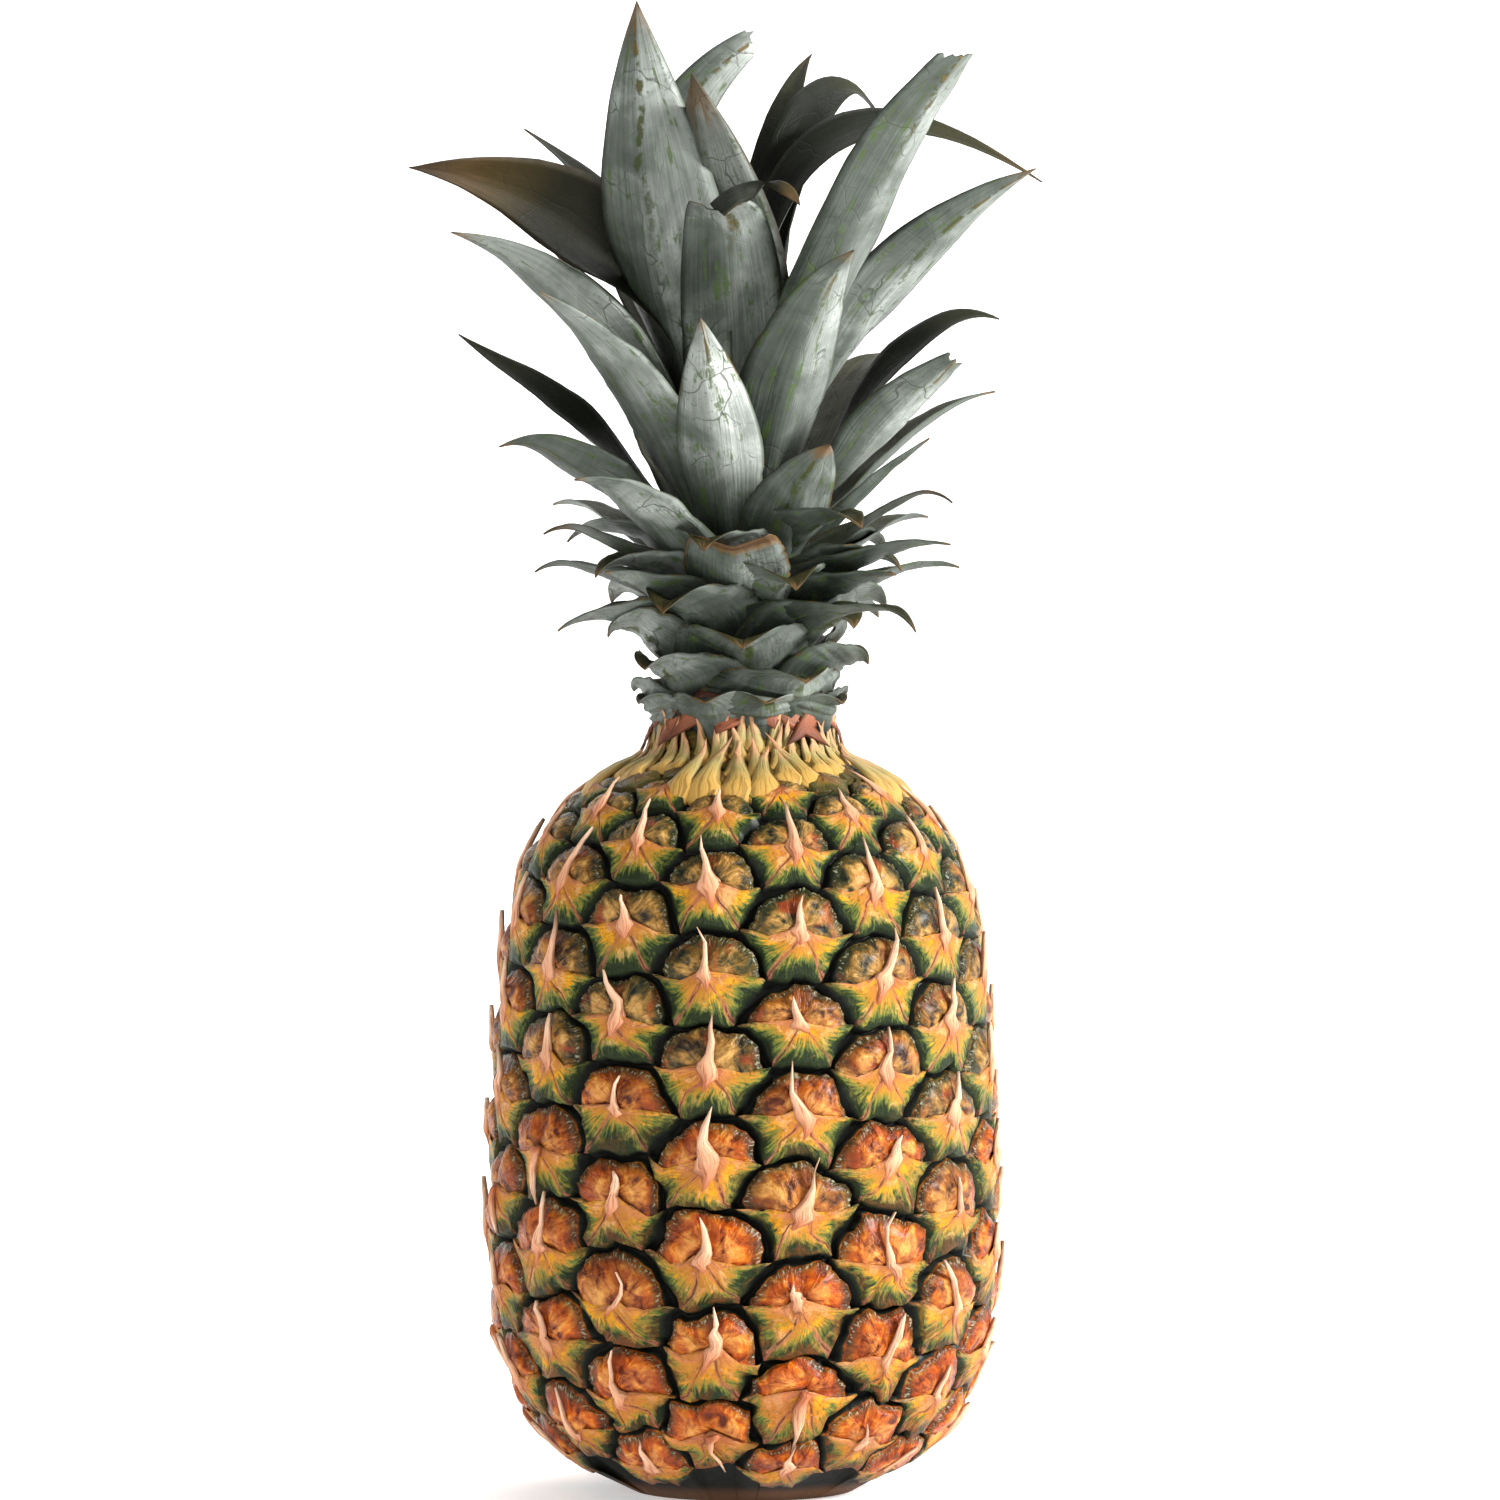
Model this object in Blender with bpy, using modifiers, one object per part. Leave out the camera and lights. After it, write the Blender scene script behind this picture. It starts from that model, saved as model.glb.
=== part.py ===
"""A pineapple standing on its base: the fruit with its eyes and spines, the cut stalk and the leafy crown.

Blender 4.5, metres, +Z up. The origin is the middle of the flat spot that the fruit stands on.
Azimuths are in degrees round the upright axis: 0 faces -Y and 90 faces +X.
"""
import math

import bmesh
import bpy
from mathutils import Matrix, Vector

MM = 0.001

# The fruit's skin, a honeycomb of eyes on a spiral. Each row is one eye's height up a column.
COLUMNS = 17
RIGHT_STEP = 8
LEFT_STEP = 9
COLUMN_ANGLE = 360 / COLUMNS
EYE_TURN = -2 * COLUMN_ANGLE
EYE_COUNT = 188
FIRST_EYE_AZIMUTH = 97.5
# Radius and height of the skin's valleys at each row, from the underside to the neck.
FIRST_ROW = -1
MERIDIAN = [
    (30.0, 1.6), (43.5, 8.2), (55.4, 26.0), (61.4, 48.0), (62.2, 71.5), (61.9, 95.0), (60.6, 117.5),
    (58.3, 139.5), (52.7, 160.5), (41.0, 175.3), (31.5, 181.5), (25.5, 185.0), (23.0, 189.0), (21.8, 193.2),
]
FULL_ROW = 23.0
VALLEY_TO_RIM = 0.80
CAP_RISE = 2.1
BRACT_RISE = 1.5
SHELF_RISE = 0.9
# The skin is smoother where the fruit stands.
SMOOTH_ROWS = (-0.3, 0.9)
SMOOTH_RISE = 0.25
# Each bract ends in a spine. Places are in column and row widths from the eye's middle, rises in mm.
SPINE_FOOT = [(-0.10, 0.0, 2.0), (0.0, 0.07, 2.1), (0.10, 0.0, 2.0), (0.0, -0.16, 2.3)]
SPINE_WAIST = [(-0.065, 0.24, 3.1), (0.0, 0.26, 2.8), (0.065, 0.24, 3.1), (0.0, 0.20, 3.8)]
SPINE_TIP = (0.0, 0.62, 3.5)
NECK_ROW = 8.6
NECK_SPINE_STRETCH = 2.1
BARE_ROW = 0.35

# The flat spot, with the socket that holds the cut stalk.
REST_RADIUS = 28.0
STALK_RADIUS = 13.5
STALK_LENGTH = 13.0
STALK_CHAMFER = 0.8
SOCKET_FLARE = 4.0
SOCKET_NECK = 5.5
GAP = 0.3

# The crown's stem, and the short broad leaves at its foot that are one piece with it.
NECK_TOP = 195.0
STEM_PROFILE = [(15.0, 195.3), (17.5, 198.0), (16.0, 208.0), (12.0, 226.0), (7.5, 246.0), (3.0, 256.0)]
STEM_SIDES = 20
SCALE_COUNT = 12
SCALE_TURN = 137.5
SCALE_AZIMUTH = 12.0
SCALE_FOOT = (199.5, 209.5)
SCALE_REACH = (26.5, 43.0)
SCALE_CLIMB = (1.5, 9.0)
SCALE_WIDTH = (27.0, 21.0)
SCALE_LEAN = (62.0, 54.0)
SCALE_ARCH = 0.55
SCALE_ROOT_DEPTH = 4.0
SCALE_ROOT_SHARE = 0.75
SCALE_STATIONS = 4

# The leaves, from the lowest and outermost to the innermost: the outer ones each a blade of its own,
# and the inner ones, which stand so close that they touch, grown in one with the stem.
# Azimuth of the leaf, reach of its tip from the axis, height of its tip, lean of its root from upright,
# how far along it bends, width, twist, curl of its end, and how far its tip strays sideways.
# Millimetres and degrees. The bend is a share of the straight line from root to tip.
OUTER_LEAVES = [
    (44, 63, 220, 57, 0.55, 11, 0, 35, 0),
    (-82, 48, 219, 55, 0.55, 14, 0, 20, 0),
    (-138, 50, 222, 60, 0.55, 17, 0, 30, 0),
    (137, 52, 224, 58, 0.55, 17, 0, 25, 0),
    (-52, 44, 232, 50, 0.55, 22, 0, 0, 0),
    (56, 46, 232, 50, 0.55, 20, 0, 10, 0),
    (-4, 40, 240, 44, 0.55, 26, 0, 40, 0),
    (-168, 54, 232, 55, 0.55, 18, 0, 30, 0),
    (100, 56, 236, 56, 0.55, 14, 0, 20, 0),
    (-98, 54, 236, 56, 0.55, 14, 0, 35, 0),
    (68, 56, 240, 48, 0.55, 17, 0, 10, 0),
    (-75, 52, 246, 44, 0.55, 14, 0, 45, 0),
    (125, 58, 250, 46, 0.55, 18, 0, 20, 0),
    (-125, 60, 254, 44, 0.55, 18, 0, 25, 0),
    (-42, 62, 256, 40, 0.55, 23, 0, 15, 0),
    (28, 45, 264, 30, 0.55, 24, 0, 10, 0),
    (170, 60, 256, 42, 0.55, 20, 0, 25, 0),
    (85, 53, 256, 42, 0.55, 11, 0, 60, 0),
    (-66, 66, 268, 38, 0.55, 19, 25, 35, 0),
    (73, 49, 266, 38, 0.55, 12, 0, 0, 0),
    (-12, 50, 298, 32, 0.55, 24, 0, 0, 0),
    (-150, 62, 280, 36, 0.55, 20, 0, 25, 0),
    (110, 68, 282, 36, 0.55, 18, 0, 15, 0),
    (-95, 74, 292, 32, 0.55, 15, 0, -10, 0),
    (60, 66, 289, 34, 0.55, 17, -25, 0, 0),
    (-50, 66, 301, 24, 0.55, 26, 0, 0, 0),
    (148, 70, 296, 32, 0.55, 22, 0, 25, 0),
    (92, 64, 302, 22, 0.70, 16, 0, 35, 0),
    (-172, 72, 304, 30, 0.55, 22, 0, 30, 0),
    (28, 58, 313, 26, 0.55, 26, 0, 20, 0),
]
INNER_LEAVES = [
    (-72, 76, 319, 22, 0.60, 24, 25, 10, 0),
    (-98, 50, 316, 20, 0.55, 20, 0, 0, 0),
    (-8, 40, 340, 12, 0.60, 29, 0, 75, 0),
    (72, 77, 333, 16, 0.60, 22, -35, 0, 0),
    (-140, 66, 326, 22, 0.55, 20, 0, 25, 0),
    (-108, 91, 338, 6, 0.68, 34, -50, 0, 0),
    (108, 81, 334, 4, 1.2, 18, 45, 0, 0),
    (42, 84, 366, 11, 0.55, 29, 0, 10, 0),
    (178, 50, 342, 14, 0.55, 24, 0, 30, 0),
    (-60, 31, 376, 22, 0.55, 38, 35, 0, 0),
    (-130, 75, 352, 10, 0.55, 14, 0, 0, 0),
    (138, 56, 352, 3, 0.80, 20, 40, 50, 0),
    (-14, 26, 357, 4, 0.55, 20, 0, 0, 0),
    (-155, 56, 360, 6, 0.55, 24, 0, 10, 0),
    (150, 40, 367, 2, 0.60, 16, 0, 20, 0),
    (-90, -6, 373, 26, 0.55, 16, 90, 0, -30),
]
OUTER_FOOT = (213.0, 238.5)
INNER_FOOT = (239.0, 251.0)
INNER_ROOT_DEPTH = 2.5
LEAF_STATIONS = 8
LEAF_THICKNESS = 1.0
ROOT_WIDTH_SHARE = 0.42
WIDEST_AT = 0.45
TAPER_POWER = 2.1
CHANNEL = (0.12, 0.34)
CURL_FROM = 0.78

SKIN_COLOUR = (0.30, 0.22, 0.06, 1)
STALK_COLOUR = (0.55, 0.42, 0.22, 1)
LEAF_COLOUR = (0.24, 0.29, 0.24, 1)


def clear_scene():
    for old in list(bpy.data.objects):
        bpy.data.objects.remove(old, do_unlink=True)


def material(name, colour, roughness):
    made = bpy.data.materials.new(name)
    made.use_nodes = True
    shader = made.node_tree.nodes["Principled BSDF"]
    shader.inputs["Base Color"].default_value = colour
    shader.inputs["Roughness"].default_value = roughness
    shader.inputs["Metallic"].default_value = 0.0
    return made


def add_object(name, mesh, finish, collection):
    made = bpy.data.objects.new(name, mesh)
    collection.objects.link(made)
    mesh.materials.clear()
    mesh.materials.append(finish)
    return made


def mix(pair, share):
    return pair[0] + (pair[1] - pair[0]) * share


def smooth_step(low, high, value):
    share = min(1.0, max(0.0, (value - low) / (high - low)))
    return share * share * (3 - 2 * share)


def on_profile(profile, height):
    """Radius of a turned profile at this height."""
    for (r0, z0), (r1, z1) in zip(profile, profile[1:]):
        if height <= z1:
            return mix((r0, r1), (height - z0) / (z1 - z0))
    return profile[-1][0]


def meridian(row):
    """Radius, height, outward direction and row height of the skin, at a row that need not be whole."""
    place = min(max(row - FIRST_ROW, 0.0), len(MERIDIAN) - 1.001)
    start = int(place)
    t = place - start
    p = [MERIDIAN[min(max(start + k, 0), len(MERIDIAN) - 1)] for k in (-1, 0, 1, 2)]
    point, slope = [], []
    for a, b, c, d in zip(*p):
        pull, bend, turn = c - a, 2 * a - 5 * b + 4 * c - d, 3 * b - a - 3 * c + d
        point.append(b + (pull * t + bend * t**2 + turn * t**3) / 2)
        slope.append((pull + 2 * bend * t + 3 * turn * t**2) / 2)
    length = math.hypot(*slope)
    return point, (slope[1] / length, -slope[0] / length), length


def skin_point(azimuth, row, rise):
    """A point of the fruit, this many millimetres above the skin's valleys where eyes are full size."""
    (radius, height), (out, up), row_height = meridian(row)
    rise *= min(1.0, row_height / FULL_ROW) * mix((SMOOTH_RISE, 1.0), smooth_step(*SMOOTH_ROWS, row))
    angle = math.radians(azimuth)
    radius += out * rise
    return Vector((radius * math.sin(angle), -radius * math.cos(angle), height + up * rise)) * MM


def eye_place(eye):
    return FIRST_EYE_AZIMUTH + eye * EYE_TURN, eye / COLUMNS


def corner_places(eye):
    """The six corners of an eye's cell from its right tip, anticlockwise.

    Three eyes share each corner, and the lowest of them owns it.
    """
    owned = {
        "right": (COLUMN_ANGLE / 3, (RIGHT_STEP + COLUMNS) / 3 / COLUMNS),
        "left": (-COLUMN_ANGLE / 3, (LEFT_STEP + COLUMNS) / 3 / COLUMNS),
    }
    for owner, hand in (
        (eye - LEFT_STEP, "left"), (eye, "right"), (eye, "left"),
        (eye - RIGHT_STEP, "right"), (eye - COLUMNS, "left"), (eye - COLUMNS, "right"),
    ):
        azimuth, row = eye_place(owner)
        turn, climb = owned[hand]
        yield (owner, hand), azimuth + turn, row + climb


def cell_corners(mesh, known, eye):
    corners = []
    for key, azimuth, row in corner_places(eye):
        if key not in known:
            known[key] = mesh.verts.new(skin_point(azimuth, row, 0))
        corners.append(known[key])
    return corners


def add_ring(mesh, azimuth, row, places):
    return [mesh.verts.new(skin_point(azimuth + a * COLUMN_ANGLE, row + b, rise)) for a, b, rise in places]


def join_rings(mesh, outer, inner):
    for k in range(len(outer)):
        following = (k + 1) % len(outer)
        mesh.faces.new((outer[k], outer[following], inner[following], inner[k]))


def spine_places(row):
    """Foot, waist and tip of an eye's spine, which is longer for its eye at the neck."""
    stretch = mix((1.0, NECK_SPINE_STRETCH), smooth_step(NECK_ROW - 1.5, NECK_ROW + 1, row))
    waist = [(a, b * stretch, rise * stretch) for a, b, rise in SPINE_WAIST]
    a, b, rise = SPINE_TIP
    return SPINE_FOOT, waist, (a, b * stretch, rise * stretch)


def add_eye(mesh, known, eye):
    """One eye: the cap above its shelf, the bract below it, and the bract's spine over the cap."""
    azimuth, row = eye_place(eye)
    valley = cell_corners(mesh, known, eye)
    a, b = 2 / 3 * VALLEY_TO_RIM, 0.5 * VALLEY_TO_RIM
    rim = add_ring(mesh, azimuth, row, [
        (a, 0, SHELF_RISE), (a / 2, b, CAP_RISE), (-a / 2, b, CAP_RISE),
        (-a, 0, SHELF_RISE), (-a / 2, -b, BRACT_RISE), (a / 2, -b, BRACT_RISE),
    ])
    join_rings(mesh, valley, rim)
    foot, waist, tip = spine_places(row)
    left, back, right, front = add_ring(mesh, azimuth, row, foot)
    for face in (
        (rim[0], rim[1], right), (rim[1], back, right), (rim[1], rim[2], back), (rim[2], left, back),
        (rim[2], rim[3], left), (rim[3], rim[4], left), (rim[4], front, left), (rim[4], rim[5], front),
        (rim[5], right, front), (rim[5], rim[0], right),
    ):
        mesh.faces.new(face)
    if row < BARE_ROW:
        mesh.faces.new((right, back, left, front))
        return
    ring = [right, back, left, front]
    narrow = add_ring(mesh, azimuth, row, [waist[k] for k in (2, 1, 0, 3)])
    join_rings(mesh, ring, narrow)
    point = add_ring(mesh, azimuth, row, [tip])[0]
    for k in range(4):
        mesh.faces.new((narrow[k], narrow[(k + 1) % 4], point))


def extend_end(mesh, edges, profile):
    """Carries an open end inwards through the rings of a turned profile, and closes it flat."""
    for radius, height in profile:
        grown = bmesh.ops.extrude_edge_only(mesh, edges=edges)["geom"]
        edges = [g for g in grown if isinstance(g, bmesh.types.BMEdge) and g.is_boundary]
        for vert in {v for edge in edges for v in edge.verts}:
            direction = Vector((vert.co.x, vert.co.y)).normalized() * radius * MM
            vert.co = (direction.x, direction.y, height * MM)
    bmesh.ops.edgeloop_fill(mesh, edges=edges)


def make_fruit(finish, collection):
    """The honeycomb of eyes, carried in to the flat spot and socket below and to the neck's top above."""
    mesh = bmesh.new()
    known = {}
    for eye in range(EYE_COUNT):
        add_eye(mesh, known, eye)
    middle = MERIDIAN[len(MERIDIAN) // 2][1] * MM
    ends = [e for e in mesh.edges if e.is_boundary]
    below = [e for e in ends if e.verts[0].co.z < middle]
    above = [e for e in ends if e.verts[0].co.z > middle]
    socket = STALK_RADIUS + GAP
    extend_end(mesh, below, [
        (REST_RADIUS, 0), (socket + SOCKET_FLARE, 0), (socket, SOCKET_NECK), (socket, STALK_LENGTH + GAP),
    ])
    extend_end(mesh, above, [(MERIDIAN[-1][0] - 2, NECK_TOP)])
    bmesh.ops.triangulate(mesh, faces=mesh.faces)
    bmesh.ops.recalc_face_normals(mesh, faces=mesh.faces)
    data = bpy.data.meshes.new("fruit")
    mesh.to_mesh(data)
    mesh.free()
    data.shade_smooth()
    return add_object("fruit", data, finish, collection)


def make_stalk(finish, collection):
    """The stub of the fruit's stalk, cut flush with the flat spot."""
    mesh = bmesh.new()
    bmesh.ops.create_cone(
        mesh, cap_ends=True, segments=28, radius1=STALK_RADIUS * MM, radius2=STALK_RADIUS * MM,
        depth=STALK_LENGTH * MM, matrix=Matrix.Translation((0, 0, STALK_LENGTH / 2 * MM)),
    )
    rims = [e for e in mesh.edges if abs(e.verts[0].co.z - e.verts[1].co.z) < 1e-7]
    bmesh.ops.bevel(mesh, geom=rims, offset=STALK_CHAMFER * MM, segments=1, affect="EDGES")
    data = bpy.data.meshes.new("cut_stalk")
    mesh.to_mesh(data)
    mesh.free()
    return add_object("cut_stalk", data, finish, collection)


def leaf_spine(foot, reach, height, lean, arch, curl, sweep, stations):
    """Points and directions along the middle of a leaf, in its own upright plane: out, up and sideways."""
    foot = Vector((foot[0], foot[1], 0))
    tip = Vector((reach, height, sweep))
    lean = math.radians(lean)
    bend = foot + Vector((math.sin(lean), math.cos(lean), 0)) * (tip - foot).length * arch
    points, directions = [], []
    for k in range(stations + 1):
        t = k / stations
        points.append(foot * (1 - t) ** 2 + bend * 2 * t * (1 - t) + tip * t * t)
        directions.append((bend - foot) * (1 - t) + (tip - bend) * t)
    first = int(CURL_FROM * stations)
    for k in range(first + 1, stations + 1):
        step = Matrix.Rotation(-math.radians(curl) / (stations - first), 4, "Z")
        for j in range(k, stations + 1):
            points[j] = points[k - 1] + step @ (points[j] - points[k - 1])
            directions[j] = step @ directions[j]
    return points, [d.normalized() for d in directions]


def leaf_width(t, root_share):
    """Share of its full width that a leaf has at t along it, 0 at its root and 1 at its tip."""
    if t < WIDEST_AT:
        return mix((root_share, 1.0), smooth_step(0, WIDEST_AT, t))
    return 1 - ((t - WIDEST_AT) / (1 - WIDEST_AT)) ** TAPER_POWER


def leaf_mesh(name, foot, shape, stations, root_share):
    """An open channelled blade along its spine, two faces wide, that Solidify makes a solid."""
    azimuth, reach, height, lean, arch, width, twist, curl, sweep = shape
    points, directions = leaf_spine(foot, reach, height, lean, arch, curl, sweep, stations)
    angle = math.radians(azimuth)
    out = Vector((math.sin(angle), -math.cos(angle), 0))
    side = Vector((math.cos(angle), math.sin(angle), 0))
    rows = []
    for k, (point, direction) in enumerate(zip(points, directions)):
        t = k / stations
        centre = out * point.x + Vector((0, 0, point.y)) + side * point.z
        along = (out * direction.x + Vector((0, 0, direction.y)) + side * direction.z).normalized()
        across = Matrix.Rotation(math.radians(twist) * smooth_step(0.2, 0.7, t), 3, along) @ side
        inner = along.cross(across)
        half = width / 2 * leaf_width(t, root_share)
        hollow = half * mix(CHANNEL, smooth_step(0, WIDEST_AT, t))
        if half < 0.01:
            rows.append([centre])
        else:
            rows.append([centre + across * half * s + inner * hollow * abs(s) for s in (-1, 0, 1)])
    mesh = bmesh.new()
    made = [[mesh.verts.new(p * MM) for p in row] for row in rows]
    for low, high in zip(made, made[1:]):
        for s in range(2):
            top = (high[0],) if len(high) == 1 else (high[s + 1], high[s])
            mesh.faces.new((low[s], low[s + 1], *top))
    bmesh.ops.triangulate(mesh, faces=mesh.faces)
    data = bpy.data.meshes.new(name)
    mesh.to_mesh(data)
    mesh.free()
    return data


def thicken(leaf):
    solid = leaf.modifiers.new("Thickness", "SOLIDIFY")
    solid.thickness = LEAF_THICKNESS * MM
    solid.offset = 0


def add_leaf(name, foot, shape, stations, root_share, finish, collection):
    thicken(add_object(name, leaf_mesh(name, foot, shape, stations, root_share), finish, collection))


def stem_foot(height, depth):
    """A leaf's root, this far inside the stem's surface, or outside it where depth is negative."""
    return on_profile(STEM_PROFILE, height) - depth, height


def make_crown_heart(finish, collection, cutters):
    """The crown's stem with its short broad foot leaves and its inner leaves, grown as one."""
    profile = bpy.data.meshes.new("crown_heart")
    line = [(0, STEM_PROFILE[-1][1]), *reversed(STEM_PROFILE), (0, STEM_PROFILE[0][1])]
    edges = [(k, k + 1) for k in range(len(line) - 1)]
    profile.from_pydata([(r * MM, 0, z * MM) for r, z in line], edges, [])
    heart = add_object("crown_heart", profile, finish, collection)
    turned = heart.modifiers.new("Turned", "SCREW")
    turned.steps = turned.render_steps = STEM_SIDES
    turned.use_merge_vertices = True
    turned.merge_threshold = 0.0001
    for k in range(SCALE_COUNT):
        share = k / (SCALE_COUNT - 1)
        height = mix(SCALE_FOOT, share)
        shape = (
            SCALE_AZIMUTH + k * SCALE_TURN, mix(SCALE_REACH, share), height + mix(SCALE_CLIMB, share),
            mix(SCALE_LEAN, share), SCALE_ARCH, mix(SCALE_WIDTH, share), 0, 0, 0,
        )
        foot = stem_foot(height, SCALE_ROOT_DEPTH)
        add_leaf(f"foot_leaf_{k}", foot, shape, SCALE_STATIONS, SCALE_ROOT_SHARE, finish, cutters)
    for k, shape in enumerate(INNER_LEAVES):
        foot = stem_foot(mix(INNER_FOOT, k / (len(INNER_LEAVES) - 1)), INNER_ROOT_DEPTH)
        add_leaf(f"inner_leaf_{k}", foot, shape, LEAF_STATIONS, ROOT_WIDTH_SHARE, finish, cutters)
    union = heart.modifiers.new("Leaves", "BOOLEAN")
    union.operation = "UNION"
    union.operand_type = "COLLECTION"
    union.collection = cutters
    union.solver = "MANIFOLD"
    bpy.context.view_layer.update()
    graph = bpy.context.evaluated_depsgraph_get()
    joined = bpy.data.meshes.new_from_object(heart.evaluated_get(graph))
    heart.modifiers.clear()
    heart.data = joined
    for leaf in list(cutters.objects):
        bpy.data.objects.remove(leaf, do_unlink=True)


def make_outer_leaves(finish, collection):
    """The outer leaves, each its own blade, rooted round the stem in a rising spiral."""
    for k, shape in enumerate(OUTER_LEAVES):
        foot = stem_foot(mix(OUTER_FOOT, k / (len(OUTER_LEAVES) - 1)), -GAP - LEAF_THICKNESS)
        add_leaf(f"crown_leaf_{k + 1:02d}", foot, shape, LEAF_STATIONS, ROOT_WIDTH_SHARE, finish, collection)


def main():
    clear_scene()
    pineapple = bpy.data.collections.new("pineapple")
    cutters = bpy.data.collections.new("cutters")
    bpy.context.scene.collection.children.link(pineapple)
    bpy.context.scene.collection.children.link(cutters)
    skin = material("skin", SKIN_COLOUR, 0.45)
    stalk = material("stalk", STALK_COLOUR, 0.8)
    leaf = material("leaf", LEAF_COLOUR, 0.55)
    make_fruit(skin, pineapple)
    make_stalk(stalk, pineapple)
    make_crown_heart(leaf, pineapple, cutters)
    make_outer_leaves(leaf, pineapple)


main()
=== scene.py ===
"""A whole pineapple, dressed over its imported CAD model: the eyes of its skin, their spines, the neck's spikes and
scales, and the crown's leaves. Metres, +Z up, and -Y is the side that faces the camera.
"""
import math

import bmesh
import bpy
import numpy as np
from mathutils import Matrix, Vector


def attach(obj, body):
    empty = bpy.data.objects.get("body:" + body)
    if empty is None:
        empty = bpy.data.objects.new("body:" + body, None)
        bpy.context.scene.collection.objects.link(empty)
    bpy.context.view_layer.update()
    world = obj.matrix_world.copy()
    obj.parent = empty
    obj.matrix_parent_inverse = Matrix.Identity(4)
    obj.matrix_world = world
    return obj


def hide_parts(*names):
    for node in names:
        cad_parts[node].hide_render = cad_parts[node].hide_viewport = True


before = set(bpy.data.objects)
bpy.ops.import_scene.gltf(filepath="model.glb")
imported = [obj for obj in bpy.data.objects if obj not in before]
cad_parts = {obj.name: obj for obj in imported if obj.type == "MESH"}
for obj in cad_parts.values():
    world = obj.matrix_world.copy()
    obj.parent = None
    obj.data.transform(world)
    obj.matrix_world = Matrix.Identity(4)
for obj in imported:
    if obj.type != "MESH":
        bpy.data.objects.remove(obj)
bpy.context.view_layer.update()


# The fruit's skin. A pineapple is a spiral of fused berries: each eye has a waxy cap above, a star-shaped
# bract below whose upper edge overhangs it like a shelf, and a dark groove round both. Seventeen columns of
# eyes stand round the fruit, and every eye is two columns on and a seventeenth of a row above the last.
MM = 0.001
COLUMNS = 17
COLUMN_TURN = math.tau / COLUMNS
EYE_COUNT = 205
FIRST_EYE_AZIMUTH = math.radians(97.5)
FIRST_ROW = -1
# Radius and height of the skin's valleys, in millimetres, at each row from the underside to above the neck.
MERIDIAN = [
    (30.0, 1.6), (43.5, 8.2), (55.4, 26.0), (61.4, 48.0), (62.2, 71.5), (61.9, 95.0), (60.6, 117.5),
    (58.3, 139.5), (52.7, 160.5), (41.0, 175.3), (31.5, 181.5), (25.5, 185.0), (23.0, 189.0), (21.8, 193.2),
    (21.6, 197.0), (22.5, 201.0), (24.0, 205.0),
]
FULL_ROW = 23.0
SMOOTH_ROWS = (-0.3, 0.9)
SMOOTH_RISE = 0.25
SAMPLES_A_ROW = 12
WANDER = 0.11
SHAKE = 3.2
# How many wanderings and shakes there are to a unit of the cylinder on which they are read.
DRIFT_SCALE, SHAKE_SCALE = 1.7, 7.0
# Share of the spines that hang, at row 0, and how much of it each row takes off.
HANGING_SHARE, HANGING_LOSS = 0.42, 0.1
SKIN_LUMPS = 0.9


def mix(pair, share):
    return pair[0] + (pair[1] - pair[0]) * share


def smooth_step(low, high, value):
    share = min(1.0, max(0.0, (value - low) / (high - low)))
    return share * share * (3 - 2 * share)


def meridian(row):
    """Radius, height, outward direction and row height of the skin, at a row that need not be whole."""
    place = min(max(row - FIRST_ROW, 0.0), len(MERIDIAN) - 1.001)
    start = int(place)
    t = place - start
    p = [MERIDIAN[min(max(start + k, 0), len(MERIDIAN) - 1)] for k in (-1, 0, 1, 2)]
    point, slope = [], []
    for a, b, c, d in zip(*p):
        pull, bend, turn = c - a, 2 * a - 5 * b + 4 * c - d, 3 * b - a - 3 * c + d
        point.append(b + (pull * t + bend * t**2 + turn * t**3) / 2)
        slope.append((pull + 2 * bend * t + 3 * turn * t**2) / 2)
    length = math.hypot(*slope)
    return point, (slope[1] / length, -slope[0] / length), length


def line_object(name, points, numbers=(), vectors=()):
    """A mesh of points only, as an object, with its named numbers and vectors."""
    mesh = bpy.data.meshes.new(name)
    mesh.from_pydata(points, [], [])
    for label, values in numbers:
        mesh.attributes.new(label, "FLOAT", "POINT").data.foreach_set("value", values)
    for label, values in vectors:
        mesh.attributes.new(label, "FLOAT_VECTOR", "POINT").data.foreach_set("vector", np.ravel(values))
    made = bpy.data.objects.new(name, mesh)
    bpy.context.scene.collection.objects.link(made)
    return made


def make_meridian():
    """The skin's profile as points, each with its outward direction and its share of the relief."""
    points, outward, relief = [], [], []
    for k in range((len(MERIDIAN) - 1) * SAMPLES_A_ROW + 1):
        row = FIRST_ROW + k / SAMPLES_A_ROW
        (radius, height), (out, up), row_height = meridian(row)
        points.append((radius * MM, 0, height * MM))
        outward.append((out, 0, up))
        settle = mix((SMOOTH_RISE, 1.0), smooth_step(*SMOOTH_ROWS, row))
        relief.append(min(1.0, row_height / FULL_ROW) * settle)
    return line_object("meridian", points, [("relief", relief)], [("outward", outward)])


def node(tree, kind, inputs=None, **settings):
    """A new node with its settings and inputs; an input is a value or the socket that feeds it."""
    made = tree.nodes.new(kind)
    for name, value in settings.items():
        setattr(made, name, value)
    for key, value in (inputs or {}).items():
        if isinstance(value, bpy.types.NodeSocket):
            tree.links.new(value, made.inputs[key])
        else:
            made.inputs[key].default_value = value
    return made


def tree_of(*values):
    """The node tree that the sockets among these values are in."""
    return next(value.id_data for value in values if isinstance(value, bpy.types.NodeSocket))


def arithmetic(operation, *values):
    return node(tree_of(*values), "ShaderNodeMath", dict(enumerate(values)), operation=operation).outputs[0]


def plus(one, other):
    return arithmetic("ADD", one, other)


def minus(one, other):
    return arithmetic("SUBTRACT", one, other)


def times(*values):
    product = values[0]
    for value in values[1:]:
        product = arithmetic("MULTIPLY", product, value)
    return product


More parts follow.
